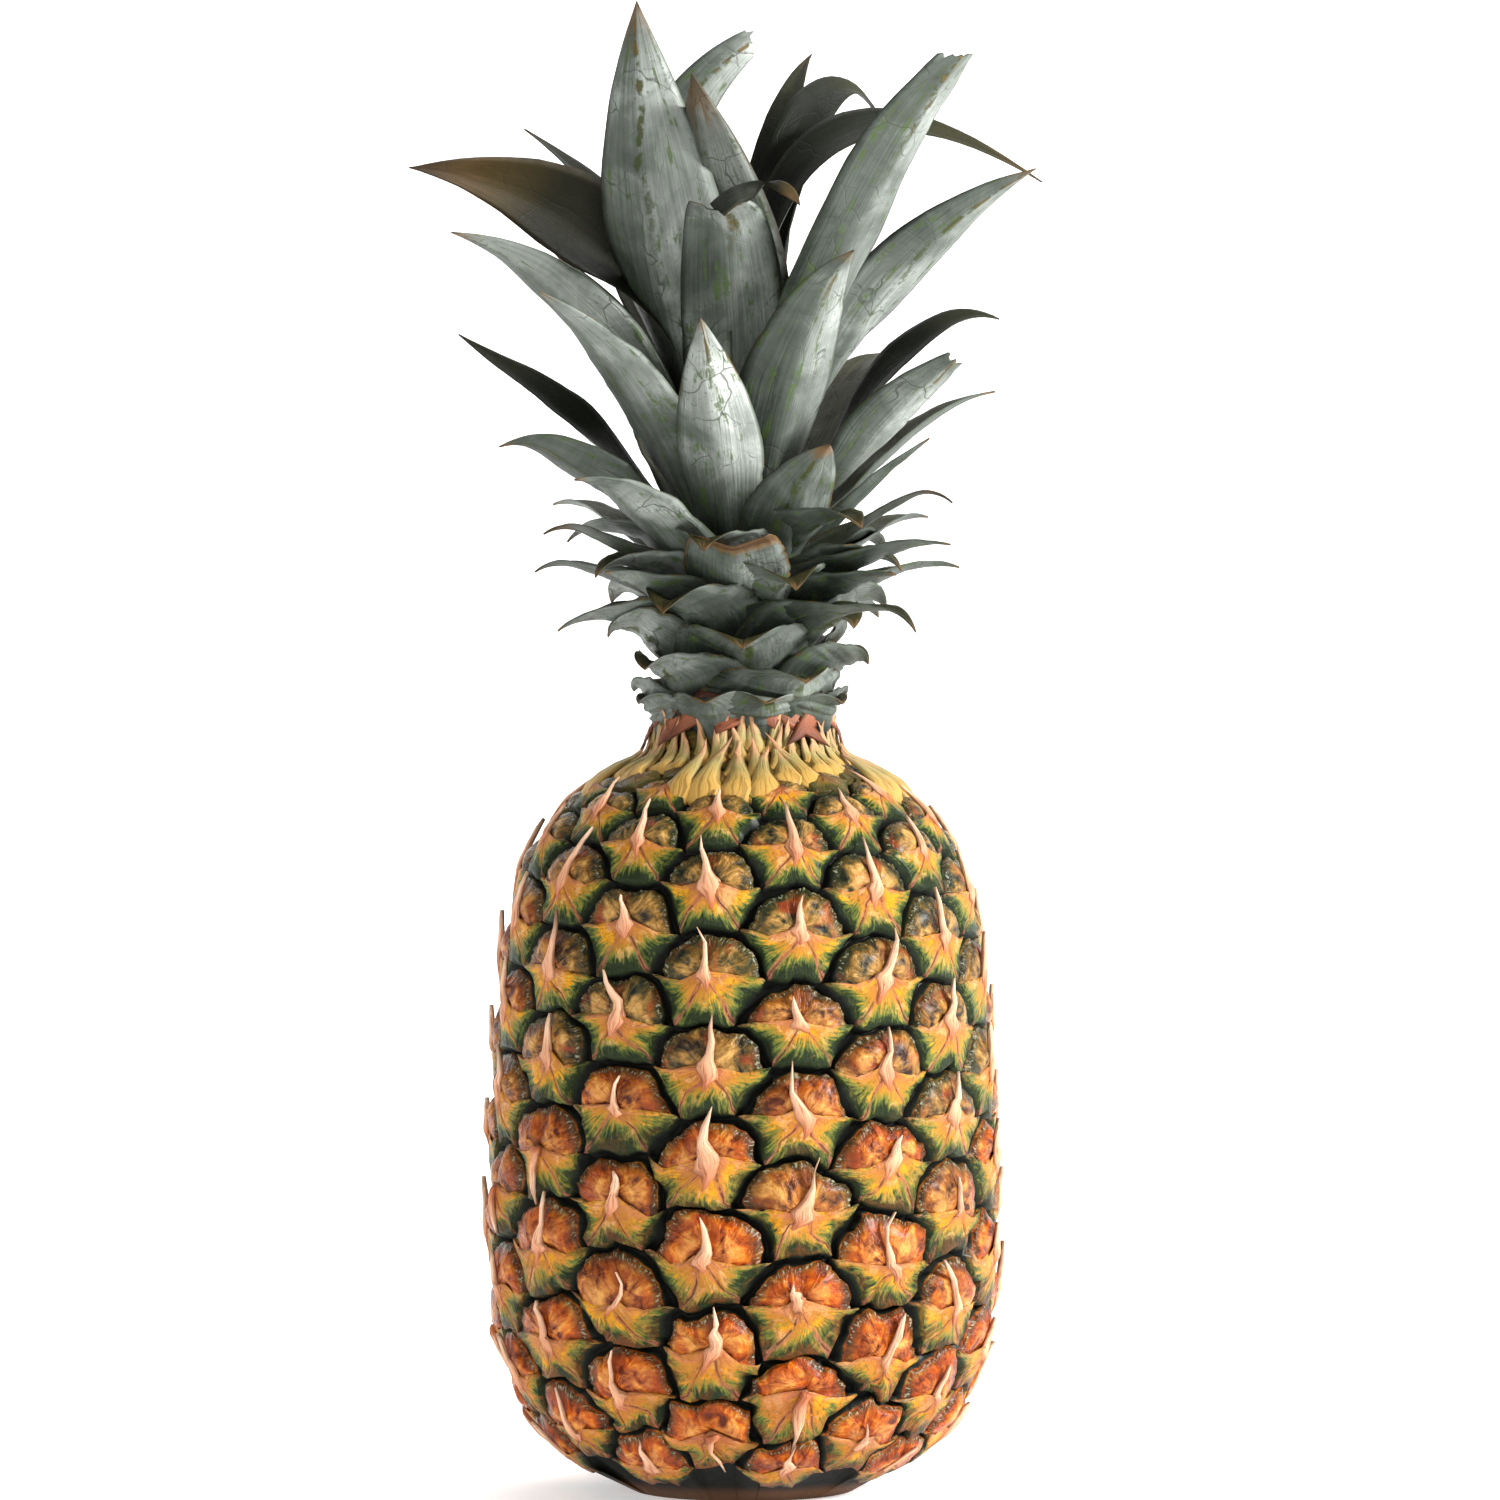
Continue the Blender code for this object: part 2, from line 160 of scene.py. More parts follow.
def unsigned(value):
    return arithmetic("ABSOLUTE", value)


def scaled(value, by, onto):
    """A value times a number, added onto another."""
    return arithmetic("MULTIPLY_ADD", value, by, onto)


def varied(value, by, onto):
    """How far a value is from a half, times a number, added onto another."""
    return scaled(minus(value, 0.5), by, onto)


def vectors(operation, one, other):
    inputs = {0: one, "Scale" if operation == "SCALE" else 1: other}
    return node(tree_of(one, other), "ShaderNodeVectorMath", inputs, operation=operation).outputs["Vector"]


def axes(vector):
    return node(vector.id_data, "ShaderNodeSeparateXYZ", {0: vector}).outputs


def joined(x=0.0, y=0.0, z=0.0):
    return node(tree_of(x, y, z), "ShaderNodeCombineXYZ", {0: x, 1: y, 2: z}).outputs[0]


def step(value, low, high):
    """0 at low and 1 at high, smooth between them; low may be the greater."""
    return node(value.id_data, "ShaderNodeMapRange", {0: value, 1: low, 2: high},
                interpolation_type="SMOOTHSTEP").outputs[0]


def stored(geometry, name, value, kind="FLOAT", domain="INSTANCE"):
    inputs = {"Geometry": geometry, "Name": name, "Value": value}
    return node(geometry.id_data, "GeometryNodeStoreNamedAttribute", inputs, data_type=kind,
                domain=domain).outputs[0]


def named(tree, name, kind="FLOAT"):
    return node(tree, "GeometryNodeInputNamedAttribute", {"Name": name}, data_type=kind).outputs[0]


def line_value(line, value, kind, sample):
    """The value of a line of points between its two points nearest to a sample that need not be whole."""
    tree = line.id_data
    below = arithmetic("FLOOR", arithmetic("MAXIMUM", sample, 0.0))
    ends = []
    for onward in (0.0, 1.0):
        inputs = {"Geometry": line, "Value": value, "Index": plus(below, onward)}
        ends.append(node(tree, "GeometryNodeSampleIndex", inputs, data_type=kind, domain="POINT",
                         clamp=True).outputs[0])
    share = minus(sample, below)
    if kind == "FLOAT":
        return node(tree, "ShaderNodeMix", {0: share, 2: ends[0], 3: ends[1]}, data_type="FLOAT").outputs[0]
    return node(tree, "ShaderNodeMix", {0: share, 4: ends[0], 5: ends[1]}, data_type="VECTOR").outputs[1]


def new_tree(name, inputs):
    """A Geometry Nodes tree with a geometry in and out, and the sockets of its other inputs."""
    tree = bpy.data.node_groups.new(name, "GeometryNodeTree")
    tree.interface.new_socket("Geometry", in_out="INPUT", socket_type="NodeSocketGeometry")
    for label, kind, value in inputs:
        socket = tree.interface.new_socket(label, in_out="INPUT", socket_type=f"NodeSocket{kind}")
        if value is not None:
            socket.default_value = value
    tree.interface.new_socket("Geometry", in_out="OUTPUT", socket_type="NodeSocketGeometry")
    return tree, tree.nodes.new("NodeGroupInput").outputs


def end_tree(tree, geometry, finish):
    """Every tree's end: smooth, real geometry in its material."""
    smooth = node(tree, "GeometryNodeSetShadeSmooth", {"Geometry": geometry}).outputs[0]
    whole = node(tree, "GeometryNodeRealizeInstances", {0: smooth}).outputs[0]
    done = node(tree, "GeometryNodeSetMaterial", {"Geometry": whole, "Material": finish}).outputs[0]
    tree.links.new(done, tree.nodes.new("NodeGroupOutput").inputs[0])


def spiral_tree():
    """Sets the modifier's own mesh at eyes of the spiral, in columns, rows and millimetres, then wraps it all round
    the fruit. Which is 0 for every eye, 1 for those whose spine stands and 2 for those whose spine hangs."""
    tree, given = new_tree("eyes_on_spiral", (
        ("Meridian", "Object", None), ("First eye", "Int", 0), ("Eye count", "Int", EYE_COUNT), ("Which", "Int", 0),
        ("Wander", "Float", WANDER), ("Sway", "Float", 0.0), ("Shortest", "Float", 1.0), ("Longest", "Float", 1.0),
        ("Growth", "Float", 0.0), ("Bend", "Float", 0.0), ("Lift", "Float", 0.0), ("Roughness", "Float", 0.0),
        ("Stagger", "Float", 0.0), ("Seed", "Int", 0), ("Finish", "Material", None),
    ))
    # Points of the flat lattice, with each eye's own numbers.
    line = node(tree, "GeometryNodeMeshLine", {"Count": given["Eye count"]}).outputs[0]
    eye = plus(node(tree, "GeometryNodeInputIndex").outputs[0], given["First eye"])
    line = stored(line, "eye_number", eye, "FLOAT", "POINT")
    eye = named(tree, "eye_number")
    column = scaled(eye, -2.0, FIRST_EYE_AZIMUTH / COLUMN_TURN)
    odd = minus(arithmetic("MODULO", eye, 2.0), 0.5)
    column = scaled(odd, given["Stagger"], column)
    row = arithmetic("DIVIDE", eye, float(COLUMNS))
    luck = node(tree, "FunctionNodeRandomValue", {"Seed": 5, "ID": eye}, data_type="FLOAT").outputs[1]
    hangs = arithmetic("LESS_THAN", luck, scaled(row, -HANGING_LOSS, HANGING_SHARE))
    kind = plus(hangs, 1.0)
    unlike = arithmetic("GREATER_THAN", unsigned(minus(kind, given["Which"])), 0.5)
    dropped = times(unlike, arithmetic("GREATER_THAN", given["Which"], 0.5))
    line = node(tree, "GeometryNodeDeleteGeometry", {"Geometry": line, "Selection": dropped},
                domain="POINT").outputs[0]
    points = node(tree, "GeometryNodeSetPosition", {"Geometry": line, "Position": joined(column, row)}).outputs[0]
    chance = node(tree, "FunctionNodeRandomValue", {"Seed": given["Seed"], "ID": eye},
                  data_type="FLOAT_VECTOR").outputs[0]
    spread = axes(chance)
    sway = times(minus(spread[0], 0.5), given["Sway"])
    stretch = node(tree, "ShaderNodeMapRange", {0: spread[1], 3: given["Shortest"], 4: given["Longest"]}).outputs[0]
    stretch = scaled(arithmetic("MAXIMUM", minus(row, 6.0), 0.0), given["Growth"], stretch)
    placed = node(tree, "GeometryNodeInstanceOnPoints",
                  {"Points": points, "Instance": given["Geometry"], "Rotation": joined(z=sway),
                   "Scale": joined(1.0, stretch, 1.0)}).outputs[0]
    placed = stored(placed, "eye_row", row)
    placed = stored(placed, "eye_column", column)
    placed = stored(placed, "eye_chance", chance, "FLOAT_VECTOR")
    flat = node(tree, "GeometryNodeRealizeInstances", {0: placed}).outputs[0]

    # Each copy's own bend and lift, which grow with the distance from its eye.
    at = axes(node(tree, "GeometryNodeInputPosition").outputs[0])
    own_chance = axes(named(tree, "eye_chance", "FLOAT_VECTOR"))
    beyond = arithmetic("MAXIMUM", minus(at[1], named(tree, "eye_row")), 0.0)
    bend = times(minus(own_chance[2], 0.5), given["Bend"])
    across = scaled(times(beyond, beyond), bend, at[0])
    lift = times(minus(own_chance[1], 0.5), given["Lift"])
    rise = scaled(beyond, lift, at[2])

    # The eyes' wandering from their places, read on a cylinder so that it meets itself.
    angle = times(across, COLUMN_TURN)
    round_place = joined(arithmetic("SINE", angle), arithmetic("COSINE", angle), times(at[1], COLUMN_TURN))
    drift, shake = (
        node(tree, "ShaderNodeTexNoise", {"Vector": round_place, "Scale": scale, "Detail": 1.0}).outputs["Color"]
        for scale in (DRIFT_SCALE, SHAKE_SCALE)
    )
    drift = vectors("ADD", vectors("SUBTRACT", drift, (0.5, 0.5, 0.5)),
                    vectors("SCALE", vectors("SUBTRACT", shake, (0.5, 0.5, 0.5)), SHAKE))
    drift = axes(drift)
    amount = arithmetic("MAXIMUM", scaled(at[1], -0.14, 1.6), 0.3)
    amount = times(given["Wander"], amount)
    turned = times(times(drift[0], amount), COLUMN_TURN)
    angle = plus(angle, turned)
    height = plus(at[1], times(drift[1], amount))

    # The wrapping round the fruit.
    sample = times(minus(height, float(FIRST_ROW)), float(SAMPLES_A_ROW))
    profile = node(tree, "GeometryNodeObjectInfo", {"Object": given["Meridian"]}).outputs["Geometry"]
    place = node(tree, "GeometryNodeInputPosition").outputs[0]
    on_line = line_value(profile, place, "FLOAT_VECTOR", sample)
    outward = line_value(profile, named(tree, "outward", "FLOAT_VECTOR"), "FLOAT_VECTOR", sample)
    relief = line_value(profile, named(tree, "relief"), "FLOAT", sample)
    rise = times(times(rise, MM), relief)
    raised = vectors("ADD", on_line, vectors("SCALE", outward, rise))
    around = node(tree, "ShaderNodeVectorRotate", {"Vector": raised, "Axis": (0.0, 0.0, 1.0),
                                                   "Angle": minus(angle, math.pi / 2)}).outputs[0]
    wrapped = node(tree, "GeometryNodeSetPosition", {"Geometry": flat, "Position": around}).outputs[0]
    merged = node(tree, "GeometryNodeMergeByDistance", {"Geometry": wrapped, "Distance": 0.02 * MM}).outputs[0]

    # Small lumps of the skin itself.
    lumps = node(tree, "ShaderNodeTexNoise", {"Scale": 220.0, "Detail": 3.0}).outputs[0]
    push = times(minus(lumps, 0.5), given["Roughness"])
    offset = vectors("SCALE", node(tree, "GeometryNodeInputNormal").outputs[0], push)
    end_tree(tree, node(tree, "GeometryNodeSetPosition", {"Geometry": merged, "Offset": offset}).outputs[0],
             given["Finish"])
    return tree


def grown(name, template, tree, **values):
    """The plain mesh that a tree makes of a template, as a new object at the origin."""
    source = bpy.data.objects.new(name + "_template", template)
    bpy.context.scene.collection.objects.link(source)
    growth = source.modifiers.new("growth", "NODES")
    growth.node_group = tree
    keys = {item.name: item.identifier for item in tree.interface.items_tree if item.in_out == "INPUT"}
    for label, value in values.items():
        growth[keys[label.replace("_", " ")]] = value
    bpy.context.view_layer.update()
    graph = bpy.context.evaluated_depsgraph_get()
    mesh = bpy.data.meshes.new_from_object(source.evaluated_get(graph))
    mesh.name = name
    bpy.data.objects.remove(source, do_unlink=True)
    made = bpy.data.objects.new(name, mesh)
    bpy.context.scene.collection.objects.link(made)
    return made


def with_attributes(name, points, faces, flat_map, zones):
    """A mesh whose corners carry the flat place of their points, and whose points carry the zone colours."""
    mesh = bpy.data.meshes.new(name)
    mesh.from_pydata(points, [], faces)
    layer = mesh.uv_layers.new(name="flat")
    for loop in mesh.loops:
        layer.data[loop.index].uv = flat_map[loop.vertex_index]
    colours = mesh.attributes.new("zones", "FLOAT_COLOR", "POINT")
    colours.data.foreach_set("color", np.ravel([(*zone, 1.0) for zone in zones]))
    return mesh


CELL_CORNERS = [(2 / 3, -1 / 51), (1 / 3, 25 / 51), (-1 / 3, 26 / 51), (-2 / 3, 1 / 51), (-1 / 3, -25 / 51),
                (1 / 3, -26 / 51)]
EDGE_STEPS = 8
CAP_WIDTH, CAP_HEIGHT, CAP_SQUARENESS = 0.535, 0.462, 2.3
CAP_RINGS = (0.28, 0.5, 0.68, 0.82, 0.92, 1.0)
CAP_TOP = 3.0
CAP_LIP = 1.2
GROOVE_RISE = -1.7
BRACT_RINGS = (0.16, 0.36, 0.58, 0.8, 0.93, 1.0)
SHELF_TOP = 3.6
BRACT_LIP = 1.5
SHELF_LAP = 0.045


def cap_rise(x, y, share):
    """The cap's dome and two lobes, the crease where the spine lies against it, and the dip under the shelf."""
    dome = mix((CAP_TOP, CAP_LIP), share**3.5)
    lobe = math.exp(-((abs(x) - 0.22) ** 2 + (y - 0.2) ** 2) / 0.016)
    crease = math.exp(-((x / 0.045) ** 2)) * smooth_step(0.02, 0.2, y)
    dip = math.exp(-((y / 0.09) ** 2))
    return dome + 0.5 * lobe - 0.7 * crease - 1.0 * dip * (1 - share**4)


def bract_rise(x, y, share):
    """The bract's slope from the shelf to its lip, and its two folds down and out from the spine's foot."""
    slope = mix((SHELF_TOP, BRACT_LIP), share**0.9)
    fold = math.exp(-(((abs(x) + 0.75 * y + 0.02) / 0.04) ** 2)) * smooth_step(0.04, 0.2, -y)
    middle = math.exp(-((x / 0.13) ** 2)) * smooth_step(0.12, 0.4, -y)
    return slope - 0.55 * fold + 0.35 * middle


def shelf_wave(x):
    """The shelf's edge is drawn up to the spine's foot, sags beside it and lifts again to the wing tips."""
    return 0.055 * math.exp(-((x / 0.11) ** 2)) - 0.045 * math.sin(math.pi * min(1.0, abs(x) / 0.62)) ** 2


def eye_template():
    """One eye's cell of the honeycomb: cap rings and groove above the shelf, bract rings below it."""
    points, zones, faces = [], [], []

    def add(x, y, rise, cap, groove, inward):
        points.append((x, y, rise))
        zones.append((cap, groove, inward))
        return len(points) - 1

    rim = []
    for (x0, y0), (x1, y1) in zip(CELL_CORNERS, CELL_CORNERS[1:] + CELL_CORNERS[:1]):
        for k in range(EDGE_STEPS):
            share = k / EDGE_STEPS
            rim.append(add(mix((x0, x1), share), mix((y0, y1), share), GROOVE_RISE, 0.0, 1.0, 0.0))
    half = 3 * EDGE_STEPS
    upper_hub = add(0, 0.02, cap_rise(0, 0.02, 0), 1.0, 0.0, 0.0)
    upper = []
    for k in range(half + 1):
        bx, by, _ = points[rim[k]]
        wide, high = abs(bx / CAP_WIDTH), abs(by / CAP_HEIGHT)
        reach = (wide**CAP_SQUARENESS + high**CAP_SQUARENESS) ** (1 / CAP_SQUARENESS)
        notch = 1 - (0.025 if k % 2 else 0.0)
        ray = [upper_hub]
        for share in CAP_RINGS:
            ragged = share / reach * (notch if share > 0.9 else 1.0)
            x, y = bx * ragged, by * ragged
            ray.append(add(x, y, cap_rise(x, y, share) - (0.25 if k % 2 and share > 0.8 else 0), 1.0, 0.0, share))
        floor = mix((1 / reach, 1.0), 0.35)
        ray.append(add(bx * floor, by * floor, GROOVE_RISE, 0.0, 1.0, 0.0))
        ray.append(rim[k])
        upper.append(ray)
    lower_hub = add(0, SHELF_LAP, SHELF_TOP, 0.0, 0.0, 1.0)
    lower = []
    for k in range(half + 1):
        index = rim[(half + k) % len(rim)]
        bx, by, _ = points[index]
        bottom = EDGE_STEPS <= k <= 2 * EDGE_STEPS
        hollow = (0.035 if bottom else 0.17) * math.sin(math.pi * (k % EDGE_STEPS) / EDGE_STEPS)
        margin = 0.955 - hollow - (0.012 if k % 2 else 0)
        lap = SHELF_LAP * max(0.0, 1 - abs(by) / 0.12)
        ray = [lower_hub]
        for share in BRACT_RINGS:
            x, y = bx * margin * share, by * margin * share + lap * (1 - share * 0.8)
            ray.append(add(x, y, bract_rise(x, y, share), 0.0, 0.0, 1 - share))
        ray.append(index)
        lower.append(ray)
    for side in (upper, lower):
        for one, other in zip(side, side[1:]):
            faces.append((one[0], one[1], other[1]))
            for k in range(1, len(one) - 1):
                faces.append((one[k], one[k + 1], other[k + 1], other[k]))
    # The wall under the shelf's edge, from the spine's foot out to each wing tip.
    for cap_side, bract_side, turned in ((upper[0], lower[-1], False), (upper[-1], lower[0], True)):
        wall = [*cap_side, *reversed(bract_side[:-1])]
        faces.append(list(reversed(wall)) if turned else wall)
    flat_map = [(x / 2 + 0.5, y / 2 + 0.5) for x, y, _ in points]
    points = [(x, y + (1 - groove) * shelf_wave(x) * math.exp(-((y / 0.16) ** 2)), rise)
              for (x, y, rise), (_, groove, _) in zip(points, zones)]
    mesh = with_attributes("eye", points, faces, flat_map, zones)
    shape = bmesh.new()
    shape.from_mesh(mesh)
    bmesh.ops.triangulate(shape, faces=[f for f in shape.faces if len(f.verts) > 4])
    shape.to_mesh(mesh)
    shape.free()
    return mesh


REST_RADIUS = 28.0
SOCKET_PROFILE = [(REST_RADIUS, 0), (17.8, 0), (13.8, 5.5), (13.8, 13.3)]
NECK_TOP = [(19.8, 195.0)]


def extend_end(mesh, edges, profile):
    """Carries an open end inwards through the rings of a turned profile, and closes it flat."""
    for radius, height in profile:
        made = bmesh.ops.extrude_edge_only(mesh, edges=edges)["geom"]
        edges = [g for g in made if isinstance(g, bmesh.types.BMEdge) and g.is_boundary]
        for vert in {v for edge in edges for v in edge.verts}:
            direction = Vector((vert.co.x, vert.co.y)).normalized() * radius * MM
            vert.co = (direction.x, direction.y, height * MM)
    bmesh.ops.edgeloop_fill(mesh, edges=edges)


def close_fruit(mesh):
    """Carries the skin in to the flat spot and the stalk's socket below, and to the neck's top above."""
    shape = bmesh.new()
    shape.from_mesh(mesh)
    ends = [e for e in shape.edges if e.is_boundary]
    middle = MERIDIAN[len(MERIDIAN) // 2][1] * MM
    extend_end(shape, [e for e in ends if e.verts[0].co.z < middle], SOCKET_PROFILE)
    extend_end(shape, [e for e in ends if e.verts[0].co.z > middle], NECK_TOP)
    for face in shape.faces:
        face.smooth = True
    bmesh.ops.recalc_face_normals(shape, faces=shape.faces)
    shape.to_mesh(mesh)
    shape.free()


def srgb(red, green, blue):
    """A colour as seen on screen, from 0 to 255, as the linear colour that shaders take."""
    return (*[(c / 255 / 12.92 if c < 10.3 else ((c / 255 + 0.055) / 1.055) ** 2.4) for c in (red, green, blue)], 1)


def new_material(name, roughness, **sockets):
    """A material with its node tree and shader. Sockets are set on the shader itself."""
    made = bpy.data.materials.new(name)
    made.use_nodes = True
    shader = made.node_tree.nodes["Principled BSDF"]
    shader.inputs["Roughness"].default_value = roughness
    for label, value in sockets.items():
        shader.inputs[label.replace("_", " ")].default_value = value
    return made, made.node_tree, shader


def ramp(value, *stops):
    """A colour ramp through stops of a place and an on-screen colour."""
    made = node(value.id_data, "ShaderNodeValToRGB", {0: value})
    elements = made.color_ramp.elements
    elements[0].position, elements[0].color = stops[0][0], srgb(*stops[0][1:])
    elements[1].position, elements[1].color = stops[-1][0], srgb(*stops[-1][1:])
    for place, *colour in stops[1:-1]:
        elements.new(place).color = srgb(*colour)
    return made.outputs[0]


def painted(share, under, over, strength=None):
    """One colour over another; over may be an on-screen colour, and less strong."""
    share = share if strength is None else times(share, strength)
    over = over if isinstance(over, bpy.types.NodeSocket) else srgb(*over)
    return node(under.id_data, "ShaderNodeMix", {0: share, 6: under, 7: over}, data_type="RGBA").outputs[2]


def grain(vector, scale, detail=3.0, roughness=0.55, distortion=0.0):
    return node(vector.id_data, "ShaderNodeTexNoise", {
        "Vector": vector, "Scale": scale, "Detail": detail, "Roughness": roughness, "Distortion": distortion,
    }).outputs[0]


def bump(shader, height, strength, distance):
    """Fine relief on a shader, its distance in millimetres."""
    inputs = {"Height": height, "Strength": strength, "Distance": distance * MM}
    made = node(shader.id_data, "ShaderNodeBump", inputs)
    shader.id_data.links.new(made.outputs[0], shader.inputs["Normal"])


def attribute(tree, name, output="Fac"):
    return node(tree, "ShaderNodeAttribute", attribute_name=name).outputs[output]


def flat_places(tree):
    """The flat coordinates of the pattern's own map, from -1 to 1 each way."""
    flat = node(tree, "ShaderNodeUVMap", uv_map="flat").outputs[0]
    both = axes(vectors("SUBTRACT", flat, (0.5, 0.5, 0.0)))
    return (times(both[0], 2.0), times(both[1], 2.0))


def skin_finish():
    """Waxy skin: mottled caps, greener towards the crown and redder towards the base, with painted highlights on
    their lobes and painted shade in their crease and under the shelf; green-edged yellow bracts with pinkish folds,
    painted highlights and a painted-shade line down each fold; and a groove painted dark green, near-black at its
    depth as painted shade."""
    made, tree, shader = new_material("pineapple_skin", 0.4, Specular_IOR_Level=0.16, Coat_Weight=0.06,
                                      Coat_Roughness=0.2)
    x, y = flat_places(tree)
    zones = node(tree, "ShaderNodeSeparateColor", {0: attribute(tree, "zones", "Color")}).outputs
    cap, groove, inward = zones
    row = attribute(tree, "eye_row")
    chance = axes(attribute(tree, "eye_chance", "Vector"))
    place = node(tree, "ShaderNodeTexCoord").outputs["Object"]
    height = axes(place)[2]
    fine = grain(place, 520.0, 4.0, 0.65)
    mottle = grain(place, 230.0, 3.0, 0.6, 0.6)
    spots = grain(vectors("ADD", place, (0.3, 0.1, 0.7)), 120.0, 3.0, 0.6, 0.5)
    broad = grain(place, 26.0, 2.0)

    # The caps, with streaks that run out to their scalloped rims.
    turn = arithmetic("ARCTAN2", x, minus(y, 0.02))
    away = arithmetic("SQRT", plus(times(x, x), times(y, y)))
    seed = times(chance[0], 40.0)
    cap_rays = joined(times(turn, 5.0), times(away, 5.0), seed)
    streaks = grain(cap_rays, 1.2, 2.0, 0.5, 0.4)
    tone = plus(times(mottle, 0.75), times(streaks, 0.25))
    ripeness = scaled(row, -0.125, 1.0)
    ripeness = varied(chance[2], 0.4, ripeness)
    ripeness = varied(broad, 1.0, ripeness)
    green_cap = ramp(tone, (0.38, 20, 24, 16), (0.45, 58, 58, 34), (0.51, 98, 76, 30), (0.57, 136, 102, 48),
                     (0.66, 196, 158, 92))
    ripe_cap = ramp(tone, (0.38, 92, 32, 6), (0.45, 154, 62, 10), (0.51, 182, 78, 8), (0.57, 206, 108, 20),
                    (0.66, 228, 156, 66))
    caps = painted(step(ripeness, 0.1, 0.9), green_cap, ripe_cap)
    caps = painted(step(spots, 0.52, 0.66), caps, (150, 62, 26), 0.7)
    # Painted highlight: beige over the caps' two lobes, where they bulge.
    sideways = minus(unsigned(x), 0.2)
    upwards = minus(y, 0.15)
    off_lobe = plus(times(sideways, sideways), times(upwards, upwards))
    lobe = times(step(off_lobe, 0.03, 0.0), step(tone, 0.36, 0.62))
    caps = painted(lobe, caps, (220, 168, 92), 0.42)
    # Painted shade: darker red-brown down the crease where the spine lies against the cap.
    crease = times(step(unsigned(x), 0.1, 0.0), step(y, 0.12, 0.3))
    caps = painted(crease, caps, (112, 44, 18), 0.6)
    # Painted shade: near-black at the cap's foot, under the shelf's overhang.
    shelf_shade = times(step(y, 0.09, 0.0), step(unsigned(x), 0.36, 0.1))
    caps = painted(shelf_shade, caps, (46, 18, 8), 0.85)
    rim = times(step(inward, 0.74, 1.0), cap)
    caps = painted(rim, caps, (40, 44, 22), 0.75)
    dots = times(step(inward, 0.88, 0.96), step(grain(cap_rays, 5.0, 1.0), 0.56, 0.66), cap)
    caps = painted(dots, caps, (176, 180, 150), 0.6)

    # The bracts, whose colours run out in rays from the spine's foot.
    down = arithmetic("ARCTAN2", x, minus(0.03, y))
    rays = joined(times(down, 4.5), times(away, 2.0), seed)
    fibres = grain(rays, 2.6, 4.0, 0.65)
    warmth = varied(fibres, 1.15, inward)
    warmth = varied(mottle, 0.5, warmth)
    warmth = varied(chance[1], 0.12, warmth)
    low_middle = times(step(y, -0.14, -0.42), step(unsigned(x), 0.3, 0.05), 0.2)
    warmth = minus(warmth, low_middle)
    wings = times(step(y, -0.22, 0.0), 0.1)
    warmth = plus(warmth, wings)
    bracts = ramp(warmth, (0.0, 28, 42, 12), (0.08, 66, 80, 28), (0.2, 108, 116, 46), (0.32, 158, 132, 44),
                  (0.5, 202, 136, 40), (0.75, 206, 130, 62), (1.0, 178, 98, 54))
    yellow = times(step(spots, 0.53, 0.6), step(warmth, 0.22, 0.4))
    bracts = painted(yellow, bracts, (232, 160, 14), 0.8)
    # Painted highlight: pale patches over the bracts, towards the spine's foot.
    bract_highlight = times(step(mottle, 0.54, 0.64), step(inward, 0.1, 0.5))
    bracts = painted(bract_highlight, bracts, (238, 186, 122), 0.6)
    specks = times(step(grain(place, 900.0, 2.0), 0.56, 0.66), step(inward, 0.9, 0.2))
    bracts = painted(specks, bracts, (44, 50, 18), 0.5)
    reddish = scaled(row, -0.1, 0.5)
    bracts = painted(times(arithmetic("MAXIMUM", reddish, 0.0), step(mottle, 0.4, 0.6)), bracts, (176, 84, 26))
    fold = unsigned(plus(unsigned(x), scaled(y, 0.75, 0.02)))
    veins = times(step(fold, 0.045, 0.012), step(y, -0.04, -0.12), step(fibres, 0.36, 0.55))
    bracts = painted(veins, bracts, (162, 92, 72), 0.8)
    # Painted shade: a thin dark line down the bottom of each fold.
    cut = times(step(fold, 0.016, 0.004), step(y, -0.06, -0.16), step(mottle, 0.44, 0.52))
    bracts = painted(cut, bracts, (64, 32, 18), 0.8)
    edge = times(step(y, -0.05, 0.03), step(fibres, 0.4, 0.56))
    bracts = painted(edge, bracts, (206, 130, 100), 0.5)
    colour = painted(step(cap, 0.4, 0.6), bracts, caps)
    depth = varied(fine, 0.35, groove)
    bare = step(row, 8.1, 8.8)
    depth = minus(depth, bare)
    colour = painted(bare, colour, (88, 76, 32), 0.85)
    # The groove is dark green, and near-black at its depth as painted shade.
    colour = painted(step(depth, 0.1, 0.4), colour, (22, 34, 12))
    colour = painted(step(depth, 0.35, 0.65), colour, (3, 5, 1))
    colour = painted(step(height, 0.005, 0.0015), colour, (92, 58, 32))
    tree.links.new(colour, shader.inputs["Base Color"])
    rough = scaled(fine, 0.3, 0.13)
    rough = scaled(minus(1.0, cap), 0.18, rough)
    rough = scaled(groove, 0.4, rough)
    tree.links.new(rough, shader.inputs["Roughness"])
    lines = node(tree, "ShaderNodeMix", {0: cap, 2: fibres, 3: streaks}).outputs[0]
    relief = scaled(fine, 0.5, plus(mottle, lines))
    bump(shader, relief, scaled(groove, -0.75, 0.85), 1.1)
    return made


profile = make_meridian()
spiral = spiral_tree()
skin = grown("fruit_skin", eye_template(), spiral, Meridian=profile, Roughness=SKIN_LUMPS * MM, Seed=3,
             Finish=skin_finish())
close_fruit(skin.data)
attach(skin, "root")
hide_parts("fruit")


# The eyes' spines. Each is the drawn-out tip of its bract: a dry, pinkish blade that stands up over the cap from
# the middle of the shelf. Those low on the fruit are often bent over and hang.
LAST_SPINE_EYE = 138
